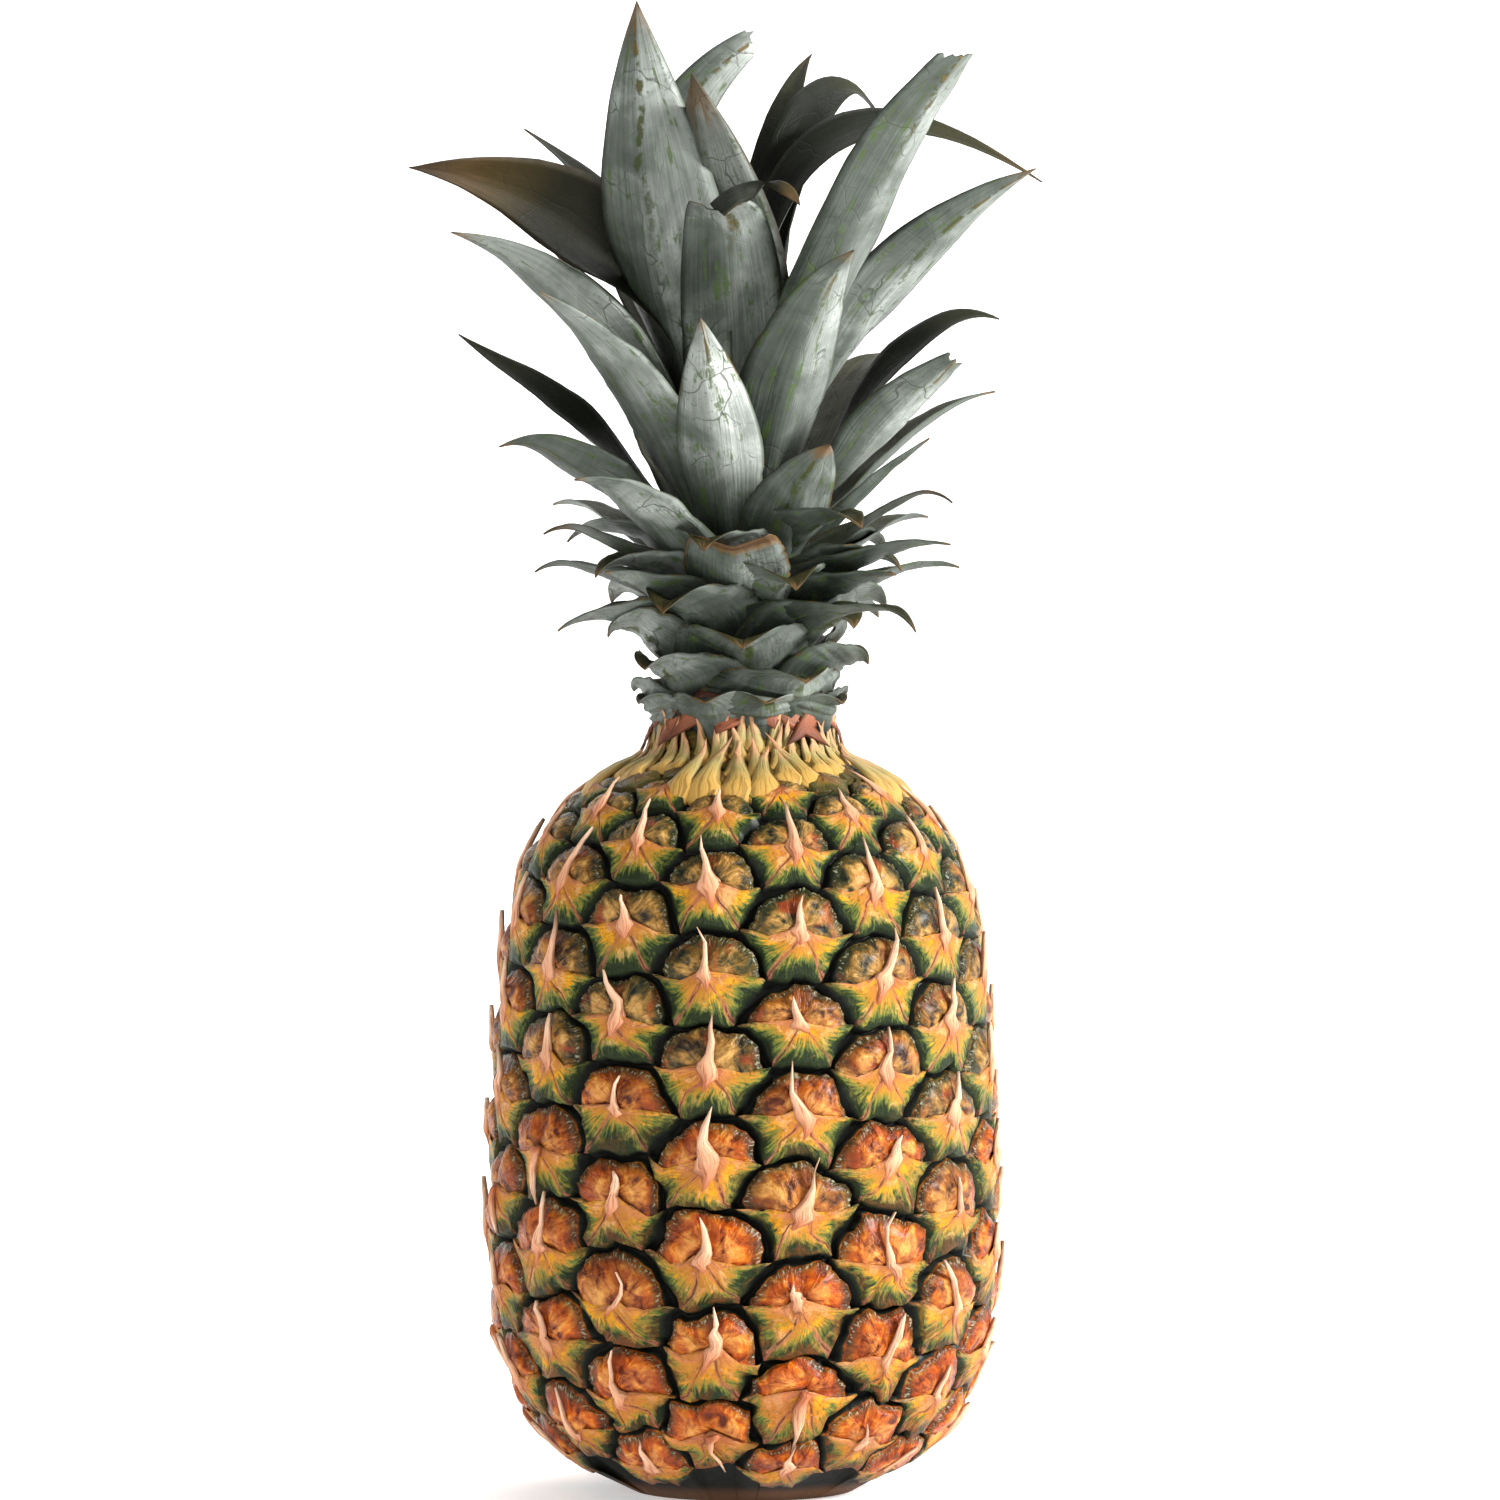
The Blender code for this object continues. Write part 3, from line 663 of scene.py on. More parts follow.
# Place along the spine in rows, half width in columns, rise of its edges and of its ridge in millimetres.
STANDING_SPINE = [
    (-0.22, 0.020, 2.2, 2.6), (-0.10, 0.050, 2.9, 3.4), (-0.01, 0.125, 3.0, 4.0), (0.04, 0.115, 3.0, 4.2),
    (0.09, 0.080, 2.9, 4.3), (0.16, 0.060, 3.1, 4.3), (0.27, 0.042, 3.5, 4.4), (0.40, 0.024, 3.9, 4.6),
    (0.54, 0.003, 4.4, 4.6),
]
HANGING_SPINE = [
    (0.03, 0.040, 2.6, 3.2), (0.05, 0.080, 3.0, 4.0), (0.01, 0.080, 3.6, 4.6), (-0.08, 0.066, 3.9, 4.9),
    (-0.20, 0.052, 3.6, 4.6), (-0.34, 0.034, 3.2, 3.9), (-0.50, 0.004, 2.8, 3.0),
]
SPINE_THICKNESS = 0.9


def spine_template(name, stations):
    """A closed blade through the stations, with a ridge along its top."""
    points, faces, flat_map, zones = [], [], [], []
    first, last = stations[0][0], stations[-1][0]
    downwards = last < first
    for y, half, edge, ridge in stations:
        along = (y - first) / (last - first)
        between = mix((edge, ridge), 0.7)
        ring = ((-half, edge), (-half / 2, between), (0, ridge), (half / 2, between), (half, edge),
                (0, edge - SPINE_THICKNESS))
        for x, rise in ring:
            points.append((x, y, rise))
            flat_map.append((x / max(half, 0.01) / 2 + 0.5, along))
            zones.append((along, 0.0, 0.0))
    sides = 6
    for k in range(len(stations) - 1):
        for j in range(sides):
            onward = (j + 1) % sides
            face = [k * sides + j, k * sides + onward, (k + 1) * sides + onward, (k + 1) * sides + j]
            faces.append(face if downwards else face[::-1])
    ends = [list(range(sides)), list(range(len(points) - sides, len(points)))[::-1]]
    faces += [end[::-1] for end in ends] if downwards else ends
    return with_attributes(name, points, [f[::-1] for f in faces], flat_map, zones)


def spine_finish(name, root, middle, tip, dark):
    """Dry, fibrous blade: four colours from its root to its tip, and the colour of its darker fibres."""
    made, tree, shader = new_material(name, 0.55, Specular_IOR_Level=0.35)
    x = flat_places(tree)[0]
    along = axes(node(tree, "ShaderNodeUVMap", uv_map="flat").outputs[0])[1]
    chance = axes(attribute(tree, "eye_chance", "Vector"))
    place = node(tree, "ShaderNodeTexCoord").outputs["Object"]
    fine = grain(place, 600.0, 3.0)
    fibres = grain(joined(times(x, 2.2), times(along, 1.1), times(chance[0], 30.0)), 3.0, 4.0, 0.6)
    shifted = varied(fibres, 0.6, along)
    colour = ramp(shifted, (0.08, *root), (0.4, *middle), (0.9, *tip))
    colour = painted(step(fibres, 0.5, 0.36), colour, dark, 0.55)
    colour = painted(step(unsigned(x), 0.7, 1.0), colour, dark, 0.4)
    brown = times(step(chance[1], 0.7, 1.0), step(shifted, 0.55, 1.0), 0.7)
    colour = painted(brown, colour, dark)
    tree.links.new(colour, shader.inputs["Base Color"])
    tree.links.new(scaled(fine, 0.3, 0.38), shader.inputs["Roughness"])
    bump(shader, scaled(fine, 0.4, fibres), 0.6, 0.4)
    return made


dry_spine = spine_finish("dry_spine", (190, 108, 66), (230, 170, 130), (250, 210, 176), (118, 60, 32))
for name, stations, which in (("standing_spines", STANDING_SPINE, 1), ("hanging_spines", HANGING_SPINE, 2)):
    spines = grown(name, spine_template(name, stations), spiral, Meridian=profile, Eye_count=LAST_SPINE_EYE,
                   Which=which, Sway=0.7, Shortest=0.6, Longest=1.2, Growth=0.16, Bend=0.8, Lift=2.0, Seed=3,
                   Finish=dry_spine)
    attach(spines, "root")


# The neck's spikes. Above the shoulder the eyes are too small to see, and their bracts grow long instead: pale
# green and beige blades that lie up the neck in overlapping rings.
FIRST_SPIKE_EYE = 133
LAST_SPIKE_EYE = 187
SPIKE = [
    (-0.30, 0.12, -0.6, 0.6), (-0.16, 0.34, 0.2, 2.0), (0.02, 0.42, 1.2, 4.2), (0.25, 0.27, 2.4, 5.9),
    (0.7, 0.20, 4.0, 7.2), (1.2, 0.15, 5.6, 8.3), (1.7, 0.105, 7.2, 9.4), (2.2, 0.06, 8.8, 10.3),
    (2.7, 0.006, 10.0, 10.6),
]
neck_green = spine_finish("neck_spike", (204, 158, 76), (170, 156, 98), (232, 166, 126), (84, 68, 32))
for name, stagger, seed in (("neck_spikes", 0.5, 8), ("neck_spikes_between", 1.4, 21)):
    spikes = grown(name, spine_template(name, SPIKE), spiral, Meridian=profile, First_eye=FIRST_SPIKE_EYE,
                   Eye_count=LAST_SPIKE_EYE - FIRST_SPIKE_EYE, Sway=0.24, Shortest=0.7, Longest=1.2, Bend=0.12,
                   Lift=2.0, Stagger=stagger, Seed=seed, Finish=neck_green)
    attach(spikes, "root")


# The collar of papery scales between the neck and the crown: withered bracts, pinkish brown, that hang and stand
# out under the lowest leaves.
FIRST_SCALE_EYE = 209
SCALE_EYES = 17
SCALE = [
    (1.0, 0.50, 0.0, 1.0), (0.4, 0.62, 3.0, 5.0), (-0.3, 0.56, 6.0, 9.0), (-1.0, 0.40, 9.0, 12.5),
    (-1.7, 0.21, 11.0, 14.0), (-2.4, 0.01, 12.6, 13.0),
]
papery = spine_finish("papery_scale", (72, 34, 18), (160, 94, 62), (116, 60, 34), (48, 22, 12))
scales = grown("papery_scales", spine_template("papery_scales", SCALE), spiral, Meridian=profile,
               First_eye=FIRST_SCALE_EYE, Eye_count=SCALE_EYES, Sway=1.1, Shortest=0.2, Longest=1.2, Bend=0.5,
               Seed=5, Finish=papery)
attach(scales, "root")


# The cut stalk. The fruit is cut from its plant flush with its underside, so only the stub's end shows in its
# socket: pale, fibrous wood with a darker rind.
STALK_RADIUS = 13.5
STALK_LENGTH = 13.0
# Radius and height of the stub's turned outline, with a slightly worn rim, from the top's middle to the cut's.
STALK_PROFILE = [(0, STALK_LENGTH), (12.7, STALK_LENGTH), (STALK_RADIUS, 12.2), (STALK_RADIUS, 0.9), (13.1, 0.3),
                 (12.4, 0.05), (10.6, 0.35), (8.6, 0.2), (6.0, 0.45), (3.0, 0.3), (0, 0.5)]
STALK_SIDES = 64


def turned(name, outline, sides):
    """A closed turned mesh from an outline that starts and ends on the axis, top first."""
    points, faces, rings = [], [], []
    for radius, height in outline:
        count = sides if radius else 1
        rings.append(range(len(points), len(points) + count))
        for k in range(count):
            angle = math.tau * k / sides
            points.append((radius * MM * math.cos(angle), radius * MM * math.sin(angle), height * MM))
    for upper, lower in zip(rings, rings[1:]):
        for k in range(sides):
            a, b = upper[k % len(upper)], upper[(k + 1) % len(upper)]
            c, d = lower[(k + 1) % len(lower)], lower[k % len(lower)]
            face = [a, d, c, b]
            faces.append([v for j, v in enumerate(face) if v not in face[:j]])
    mesh = bpy.data.meshes.new(name)
    mesh.from_pydata(points, [], faces)
    mesh.shade_smooth()
    made = bpy.data.objects.new(name, mesh)
    bpy.context.scene.collection.objects.link(made)
    return made


def stalk_finish():
    made, tree, shader = new_material("cut_stalk", 0.8)
    place = node(tree, "ShaderNodeTexCoord").outputs["Object"]
    across = axes(place)
    radius = arithmetic("SQRT", plus(times(across[0], across[0]), times(across[1], across[1])))
    bundles = node(tree, "ShaderNodeTexVoronoi", {"Vector": joined(across[0], across[1]), "Scale": 700.0})
    fibres = grain(place, 500.0, 4.0)
    colour = ramp(fibres, (0.3, 132, 98, 54), (0.5, 176, 140, 88), (0.7, 206, 176, 122))
    colour = painted(step(bundles.outputs["Distance"], 0.35, 0.1), colour, (92, 60, 32), 0.6)
    colour = painted(step(radius, 0.0108, 0.0126), colour, (78, 60, 34))
    tree.links.new(colour, shader.inputs["Base Color"])
    tree.links.new(scaled(fibres, 0.3, 0.6), shader.inputs["Roughness"])
    bump(shader, plus(fibres, bundles.outputs["Distance"]), 0.7, 0.5)
    return made


stalk = turned("stalk_stub", STALK_PROFILE, STALK_SIDES)
stalk.data.materials.append(stalk_finish())
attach(stalk, "root")
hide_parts("cut_stalk")


# The crown's leaves. Stiff, channelled blades that clasp a short stem in a rising spiral, waxy grey outside and
# dark green inside, with dry brown tips. Each follows its own path; some are bent over, cut blunt or torn.
# Azimuth in degrees, tip's reach and height, lean of the root and length of the arch, width, twist, curl of the
# tip in degrees, and sideways sweep; lengths in millimetres.
OUTER_LEAVES = [
    (44, 63, 220, 57, 0.55, 11, 0, 35, 0),
    (-82, 48, 219, 55, 0.55, 14, 0, 20, 0),
    (-138, 50, 222, 60, 0.55, 17, 0, 30, 0),
    (137, 52, 224, 58, 0.55, 17, 0, 25, 0),
    (-52, 44, 232, 50, 0.55, 22, 0, 0, 0),
    (56, 46, 232, 50, 0.55, 20, 0, 10, 0),
    (-4, 40, 240, 44, 0.55, 26, 0, 40, 0),
    (-168, 54, 232, 55, 0.55, 18, 0, 30, 0),
    (100, 56, 236, 56, 0.55, 14, 0, 20, 0),
    (-98, 54, 236, 56, 0.55, 14, 0, 35, 0),
    (68, 56, 240, 48, 0.55, 17, 0, 10, 0),
    (-75, 52, 246, 44, 0.55, 14, 0, 45, 0),
    (125, 58, 250, 46, 0.55, 18, 0, 20, 0),
    (-125, 60, 254, 44, 0.55, 18, 0, 25, 0),
    (-42, 62, 256, 40, 0.55, 23, 0, 15, 0),
    (28, 45, 264, 30, 0.55, 24, 0, 10, 0),
    (170, 60, 256, 42, 0.55, 20, 0, 25, 0),
    (85, 53, 256, 42, 0.55, 11, 0, 60, 0),
    (-66, 66, 268, 38, 0.55, 19, 25, 35, 0),
    (73, 49, 266, 38, 0.55, 12, 0, 0, 0),
    (-12, 50, 294, 32, 0.55, 22, 0, 0, 0),
    (-150, 62, 280, 36, 0.55, 20, 0, 25, 0),
    (110, 68, 282, 36, 0.55, 18, 0, 15, 0),
    (-95, 74, 292, 32, 0.55, 16, -30, -10, 0),
    (58, 65, 286, 34, 0.55, 17, -25, 0, 0),
    (-50, 66, 301, 24, 0.55, 26, 0, 0, 0),
    (148, 70, 296, 32, 0.55, 22, 0, 25, 0),
    (92, 64, 302, 22, 0.70, 16, 30, 35, 0),
    (-172, 72, 304, 30, 0.55, 22, 0, 30, 0),
    (19, 58, 313, 20, 0.55, 24, 0, 20, 8),
]
INNER_LEAVES = [
    (-72, 76, 319, 22, 0.60, 24, 25, 10, 0),
    (-98, 50, 316, 20, 0.55, 25, 20, 0, 0),
    (-8, 40, 329, 12, 0.60, 27, 0, 60, 0),
    (72, 77, 333, 16, 0.60, 22, -35, 0, 0),
    (-140, 66, 326, 22, 0.55, 20, 0, 25, 0),
    (-108, 91, 338, 6, 0.68, 34, -50, 0, 0),
    (108, 81, 334, -6, 1.2, 15, 45, 0, 0),
    (42, 84, 363, 19, 0.52, 24, 0, 8, 0),
    (178, 50, 342, 14, 0.55, 24, 0, 30, 0),
    (-60, 31, 376, 22, 0.55, 38, 35, 0, 0),
    (-130, 75, 350, 10, 0.55, 20, 0, 0, 0),
    (138, 58, 355, 1, 1.1, 14, 40, 35, 0),
    (-30, 26, 357, 4, 0.55, 34, 0, 0, 0),
    (-155, 56, 362, 6, 0.55, 34, 0, 10, 0),
    (156, 40, 372, 2, 0.60, 16, 0, 20, 0),
    (-90, -7, 374, 26, 0.78, 18, 90, 0, -30),
]
LEAF_COUNT = len(OUTER_LEAVES) + len(INNER_LEAVES)
OUTER_FOOT = (213.0, 238.5)
INNER_FOOT = (239.0, 251.0)
# Radius and height of the stem, bottom first, and how many sides it is turned with.
STEM_PROFILE = [(20.5, 189.0), (20.0, 196.0), (17.5, 203.0), (16.0, 208.0), (12.0, 226.0), (7.5, 246.0),
                (3.0, 256.0)]
STEM_SIDES = 40
# Share of its width that a leaf keeps at its cut or torn end, by its number up the crown.
BLUNT = {7: 0.62, 25: 0.25, 33: 0.45, 38: 0.35, 44: 0.45, 46: 0.3}
# How dry and brown a leaf is, from 0 to 1, where it stands out from the rest.
DRY = {7: 0.7, 12: 0.6, 16: 0.35, 18: 0.7, 25: -0.3, 33: -0.2, 36: 0.5, 37: 0.1, 38: -0.5, 39: 0.6, 42: 0.05,
       43: 0.4, 44: 0.6, 46: -0.5}
# How far a leaf is painted darker, from 0 to 1: painted shade on leaves that stand in shadow.
SHADED = {10: 0.5, 12: 0.5, 18: 0.6, 24: 0.7, 28: 0.8, 36: 0.5, 37: 0.45, 41: 0.5, 42: 0.55, 43: 0.5, 44: 0.6,
        45: 0.5}
# How much lighter or darker a leaf's bloom is painted than its neighbours': painted light and shade.
LEAF_LIGHT_SHADE = {19: -0.2, 21: 0.14, 38: -0.08}
STATIONS = 40
WIDEST_AT = 0.45
TAPER_POWER = 1.75
ROOT_WIDTH_SHARE = 0.42
CHANNEL = 0.34
# A leaf's foot clasps the stem: its half width and hollow there as shares of its distance from the stem's axis.
CLASP_LENGTH = 26.0
CLASP_SHARE = 0.93
CLASP_HOLLOW = 0.6
KEEL = 1.25
CURL_FROM = 0.78
LEAF_THICKNESS = 1.0
ROOT_GAP = 1.3
INNER_ROOT_DEPTH = 2.5


def on_profile(outline, height):
    """Radius of a turned outline, given bottom first, at a height."""
    for (r0, z0), (r1, z1) in zip(outline, outline[1:]):
        if height <= z1:
            return mix((r0, r1), (height - z0) / (z1 - z0))
    return outline[-1][0]


def leaf_spine(foot, reach, height, lean, arch, curl, sweep):
    """Points and directions along the middle of a leaf, in its own upright plane: out, up and sideways."""
    foot = Vector(foot)
    tip = Vector((reach, height, sweep))
    lean = math.radians(lean)
    bend = foot + Vector((math.sin(lean), math.cos(lean), 0)) * (tip - foot).length * arch
    points, directions = [], []
    for k in range(STATIONS + 1):
        t = k / STATIONS
        points.append(foot * (1 - t) ** 2 + bend * 2 * t * (1 - t) + tip * t * t)
        directions.append((bend - foot) * (1 - t) + (tip - bend) * t)
    first = int(CURL_FROM * STATIONS)
    for k in range(first + 1, STATIONS + 1):
        part = Matrix.Rotation(-math.radians(curl) / (STATIONS - first), 4, "Z")
        for j in range(k, STATIONS + 1):
            points[j] = points[k - 1] + part @ (points[j] - points[k - 1])
            directions[j] = part @ directions[j]
    return points, [d.normalized() for d in directions]


def leaf_width(t, root_share, blunt):
    """Share of its full width that a leaf has at t along it, 0 at its root and 1 at its tip."""
    if t < WIDEST_AT:
        return mix((root_share, 1.0), smooth_step(0, WIDEST_AT, t))
    beyond = (t - WIDEST_AT) / (1 - WIDEST_AT)
    return 1 - (1 - blunt) * beyond ** (TAPER_POWER + 1.8 * blunt)


def leaf_paths(name, leaves):
    """All the leaves' middle lines as one line of points, each with its directions across and inwards, half width,
    hollow, thickness and ragged end. A leaf is its foot, shape, root share, bluntness and tone."""
    places, across, inner, half, hollow, thick, jag, tone = [], [], [], [], [], [], [], []
    for foot, shape, root_share, blunt, own_tone in leaves:
        azimuth, reach, height, lean, arch, width, twist, curl, sweep = shape
        angle = math.radians(azimuth)
        out = Vector((math.sin(angle), -math.cos(angle), 0))
        side = Vector((math.cos(angle), math.sin(angle), 0))
        line = zip(*leaf_spine(foot, reach, height, lean, arch, curl, sweep))
        for k, (point, direction) in enumerate(line):
            t = k / STATIONS
            along = (out * direction.x + Vector((0, 0, direction.y)) + side * direction.z).normalized()
            width_way = Matrix.Rotation(math.radians(twist) * smooth_step(0.2, 0.7, t), 3, along) @ -side
            free = smooth_step(0, min(1.0, CLASP_LENGTH / math.dist(foot, (reach, height, sweep))), t)
            half_width = mix((foot[0] * CLASP_SHARE, width / 2 * leaf_width(t, root_share, blunt)), free)
            channel = mix((foot[0] * CLASP_HOLLOW, half_width * CHANNEL), free)
            places.append((out * point.x + Vector((0, 0, point.y)) + side * point.z) * MM)
            across.append(width_way)
            inner.append(width_way.cross(along))
            half.append(half_width * MM)
            hollow.append(channel * MM)
            thick.append(LEAF_THICKNESS * mix((1.0, 0.55), t) * MM)
            jag.append(0.05 * (blunt > 0) * smooth_step(0.7, 1.0, t))
            tone.append(own_tone)
    return line_object(name, places, [("half", half), ("hollow", hollow), ("thick", thick), ("jag", jag)],
                       [("across", across), ("inner", inner), ("tone", tone)])


BLADE_ACROSS = 10
BLADE_ALONG = 36
# How fast nicks and ripples follow one another along a blade, and how strong a nick's noise has to be to bite.
NICKS_ALONG, RIPPLES_ALONG = 26.0, 5.0
NICK_FLOOR = 0.62


def blade_template():
    """A closed flat blade: -1 to 1 across, 0 to 1 along, and 1 or -1 on its inner or outer face."""
    points, faces, flat_map, zones = [], [], [], []
    index = {}
    for face in (1, -1):
        for k in range(BLADE_ALONG + 1):
            for j in range(BLADE_ACROSS + 1):
                edge = j in (0, BLADE_ACROSS)
                if edge and face < 0:
                    index[face, k, j] = index[1, k, j]
                    continue
                s, t = 2 * j / BLADE_ACROSS - 1, k / BLADE_ALONG
                index[face, k, j] = len(points)
                points.append((s, t, 0 if edge else face))
                flat_map.append((s / 2 + 0.5, t))
                zones.append((0.5 if edge else (face + 1) / 2, 0.0, 0.0))
    for face in (1, -1):
        for k in range(BLADE_ALONG):
            for j in range(BLADE_ACROSS):
                quad = [index[face, k, j], index[face, k, j + 1], index[face, k + 1, j + 1], index[face, k + 1, j]]
                faces.append(quad if face > 0 else quad[::-1])
    for k, turned_over in ((0, False), (BLADE_ALONG, True)):
        for j in range(BLADE_ACROSS):
            quad = [index[1, k, j + 1], index[1, k, j], index[-1, k, j], index[-1, k, j + 1]]
            quad = [v for n, v in enumerate(quad) if v not in quad[:n]]
            faces.append(quad[::-1] if turned_over else quad)
    return with_attributes("blade", points, faces, flat_map, zones)


def leaf_tree():
    """Sets the modifier's own flat blade on every path, and bends each to the widths and directions along it."""
    tree, given = new_tree("blades_on_paths", (
        ("Paths", "Object", None), ("Leaf count", "Int", 1), ("Wave", "Float", 0.0), ("Nicks", "Float", 0.0),
        ("Seed", "Int", 0), ("Finish", "Material", None),
    ))
    line = node(tree, "GeometryNodeMeshLine", {"Count": given["Leaf count"], "Offset": (0.0, 0.0, 0.0)}).outputs[0]
    placed = node(tree, "GeometryNodeInstanceOnPoints", {"Points": line, "Instance": given["Geometry"]}).outputs[0]
    number = node(tree, "GeometryNodeInputIndex").outputs[0]
    chance = node(tree, "FunctionNodeRandomValue", {"Seed": given["Seed"], "ID": number},
                  data_type="FLOAT_VECTOR").outputs[0]
    placed = stored(placed, "leaf_number", number)
    placed = stored(placed, "leaf_chance", chance, "FLOAT_VECTOR")
    flat = node(tree, "GeometryNodeRealizeInstances", {0: placed}).outputs[0]
    at = axes(node(tree, "GeometryNodeInputPosition").outputs[0])
    leaf = named(tree, "leaf_number")
    start = times(leaf, float(STATIONS + 1))
    paths = node(tree, "GeometryNodeObjectInfo", {"Object": given["Paths"]}).outputs["Geometry"]
    whole_sample = scaled(at[1], STATIONS - 0.001, start)
    jag = line_value(paths, named(tree, "jag"), "FLOAT", whole_sample)
    ragged = grain(joined(times(at[0], 3.0), 0.0, times(leaf, 5.3)), 2.0, 2.0, 0.5)
    t = times(at[1], minus(1.0, times(jag, ragged, 2.0)))
    sample = scaled(t, STATIONS - 0.001, start)

    def along(name, kind="FLOAT"):
        return line_value(paths, named(tree, name, kind), kind, sample)

    centre = line_value(paths, node(tree, "GeometryNodeInputPosition").outputs[0], "FLOAT_VECTOR", sample)
    distance = unsigned(at[0])
    nick = grain(joined(times(at[1], NICKS_ALONG), arithmetic("SIGN", at[0]), times(leaf, 3.7)), 1.0, 1.0, 0.5)
    bite = times(arithmetic("MAXIMUM", minus(nick, NICK_FLOOR), 0.0), given["Nicks"], step(distance, 0.5, 1.0))
    s = times(at[0], minus(1.0, bite))
    half = along("half")
    sideways = vectors("SCALE", along("across", "FLOAT_VECTOR"), times(s, half))
    channel = times(along("hollow"), arithmetic("POWER", distance, KEEL))
    round_edge = arithmetic("SQRT", minus(1.0, times(distance, distance, 0.8)))
    skin_side = times(at[2], round_edge, along("thick"), 0.5)
    ripple = grain(joined(times(at[0], 0.9), times(at[1], RIPPLES_ALONG), times(leaf, 7.9)), 1.0, 2.0, 0.5)
    wave = times(minus(ripple, 0.5), given["Wave"], step(at[1], 0.1, 0.5), times(half, 100.0))
    inwards = plus(plus(channel, skin_side), wave)
    place = vectors("ADD", vectors("ADD", centre, sideways),
                    vectors("SCALE", along("inner", "FLOAT_VECTOR"), inwards))
    toned = stored(flat, "tone", along("tone", "FLOAT_VECTOR"), "FLOAT_VECTOR", "POINT")
    bent = node(tree, "GeometryNodeSetPosition", {"Geometry": toned, "Position": place}).outputs[0]
    end_tree(tree, node(tree, "GeometryNodeMergeByDistance", {"Geometry": bent, "Distance": 0.01 * MM}).outputs[0],
             given["Finish"])
    return tree


def leaf_finish():
    """Leaf: pale waxy bloom outside, rubbed through to green in places and scratched, dark olive inside, and dry
    brown at its tip and edges; painted light and shade on the two halves of its keel, and painted shade towards its
    root and over leaves in shadow. The tone holds the bloom, the dryness and the painted shade of the leaf."""
    made, tree, shader = new_material("crown_leaf", 0.5, Specular_IOR_Level=0.24)
    flat = axes(node(tree, "ShaderNodeUVMap", uv_map="flat").outputs[0])
    s = scaled(flat[0], 2.0, -1.0)
    t = flat[1]
    distance = unsigned(s)
    inside = node(tree, "ShaderNodeSeparateColor", {0: attribute(tree, "zones", "Color")}).outputs[0]
    bloom, dry, shade = axes(attribute(tree, "tone", "Vector"))
    chance = axes(attribute(tree, "leaf_chance", "Vector"))
    leaf = times(attribute(tree, "leaf_number"), 4.7)
    place = node(tree, "ShaderNodeTexCoord").outputs["Object"]
    fine = grain(place, 700.0, 3.0)
    patches = grain(place, 55.0, 4.0, 0.6, 0.5)
    fibres = grain(joined(times(s, 9.0), times(t, 1.3), leaf), 2.4, 3.0, 0.6)
    lengthwise = grain(joined(times(s, 2.2), times(t, 3.2), leaf), 2.2, 4.0, 0.6)

    # The outer face.
    wax = varied(patches, 0.9, bloom)
    wax = varied(fibres, 0.35, wax)
    # Painted shade: the outer face darker towards the root, deep in the crown.
    wax = scaled(step(t, 0.55, 0.0), -0.36, wax)
    # Painted light and shade across the keel: one half of the blade lighter, the other darker.
    keel_light_shade = scaled(step(s, -0.25, 0.3), -0.22, 0.1)
    wax = plus(wax, keel_light_shade)
    outer = ramp(wax, (0.0, 20, 26, 19), (0.3, 56, 63, 55), (0.55, 94, 101, 93), (0.78, 148, 154, 147),
                 (1.0, 206, 212, 204))
    dabs = grain(place, 300.0, 3.0, 0.6)
    rubbed = times(step(lengthwise, 0.55, 0.63), step(dabs, 0.42, 0.56))
    outer = painted(rubbed, outer, (72, 92, 44), 0.8)
    wobble = varied(patches, 0.8, s)
    wobble = unsigned(scaled(chance[0], -0.5, plus(wobble, 0.25)))
    streak = times(step(wobble, 0.13, 0.05), step(dabs, 0.4, 0.52), step(plus(t, times(chance[1], 0.6)), 0.75, 1.1))
    outer = painted(streak, outer, (58, 66, 26), 0.9)
    stain = times(step(wobble, 0.2, 0.08), step(dabs, 0.5, 0.6), step(t, 0.72, 0.95))
    outer = painted(stain, outer, (104, 82, 42), 0.8)
    grime = times(step(grain(place, 900.0, 2.0), 0.6, 0.68), step(patches, 0.48, 0.6))
    outer = painted(grime, outer, (70, 72, 62), 0.5)
    waver = node(tree, "ShaderNodeTexNoise", {"Vector": place, "Scale": 90.0}).outputs["Color"]
    wavering = vectors("ADD", place, vectors("SCALE", waver, 0.012))
    cracks = node(tree, "ShaderNodeTexVoronoi", {"Vector": wavering, "Scale": 75.0},
                  feature="DISTANCE_TO_EDGE").outputs["Distance"]
    scratches = times(step(cracks, 0.022, 0.004), step(patches, 0.5, 0.62))
    outer = painted(scratches, outer, (52, 54, 44), 0.7)

    # The inner face.
    olive = plus(times(fibres, 0.5), times(lengthwise, 0.5))
    inner = ramp(olive, (0.3, 12, 18, 6), (0.5, 36, 42, 18), (0.7, 66, 66, 36))
    inner = painted(times(dry, step(t, 0.3, 0.9)), inner, (118, 84, 34))
    colour = painted(step(inside, 0.45, 0.55), outer, inner)

    # Dry tip and edges.
    wither = varied(lengthwise, 0.25, t)
    wither = scaled(dry, 0.22, wither)
    colour = painted(step(wither, 0.93, 1.02), colour, (118, 86, 50), 0.8)
    colour = painted(step(wither, 1.0, 1.1), colour, (72, 50, 30), 0.8)
    rim = step(distance, 0.93, 0.99)
    colour = painted(rim, colour, (54, 66, 30), 0.6)
    edge = times(rim, step(plus(lengthwise, times(dry, 0.25)), 0.56, 0.7))
    colour = painted(edge, colour, (122, 88, 46), 0.8)
    # Painted shade: leaves that stand in shadow are painted darker all over, by their tone's shade.
    colour = painted(shade, colour, (34, 38, 18))
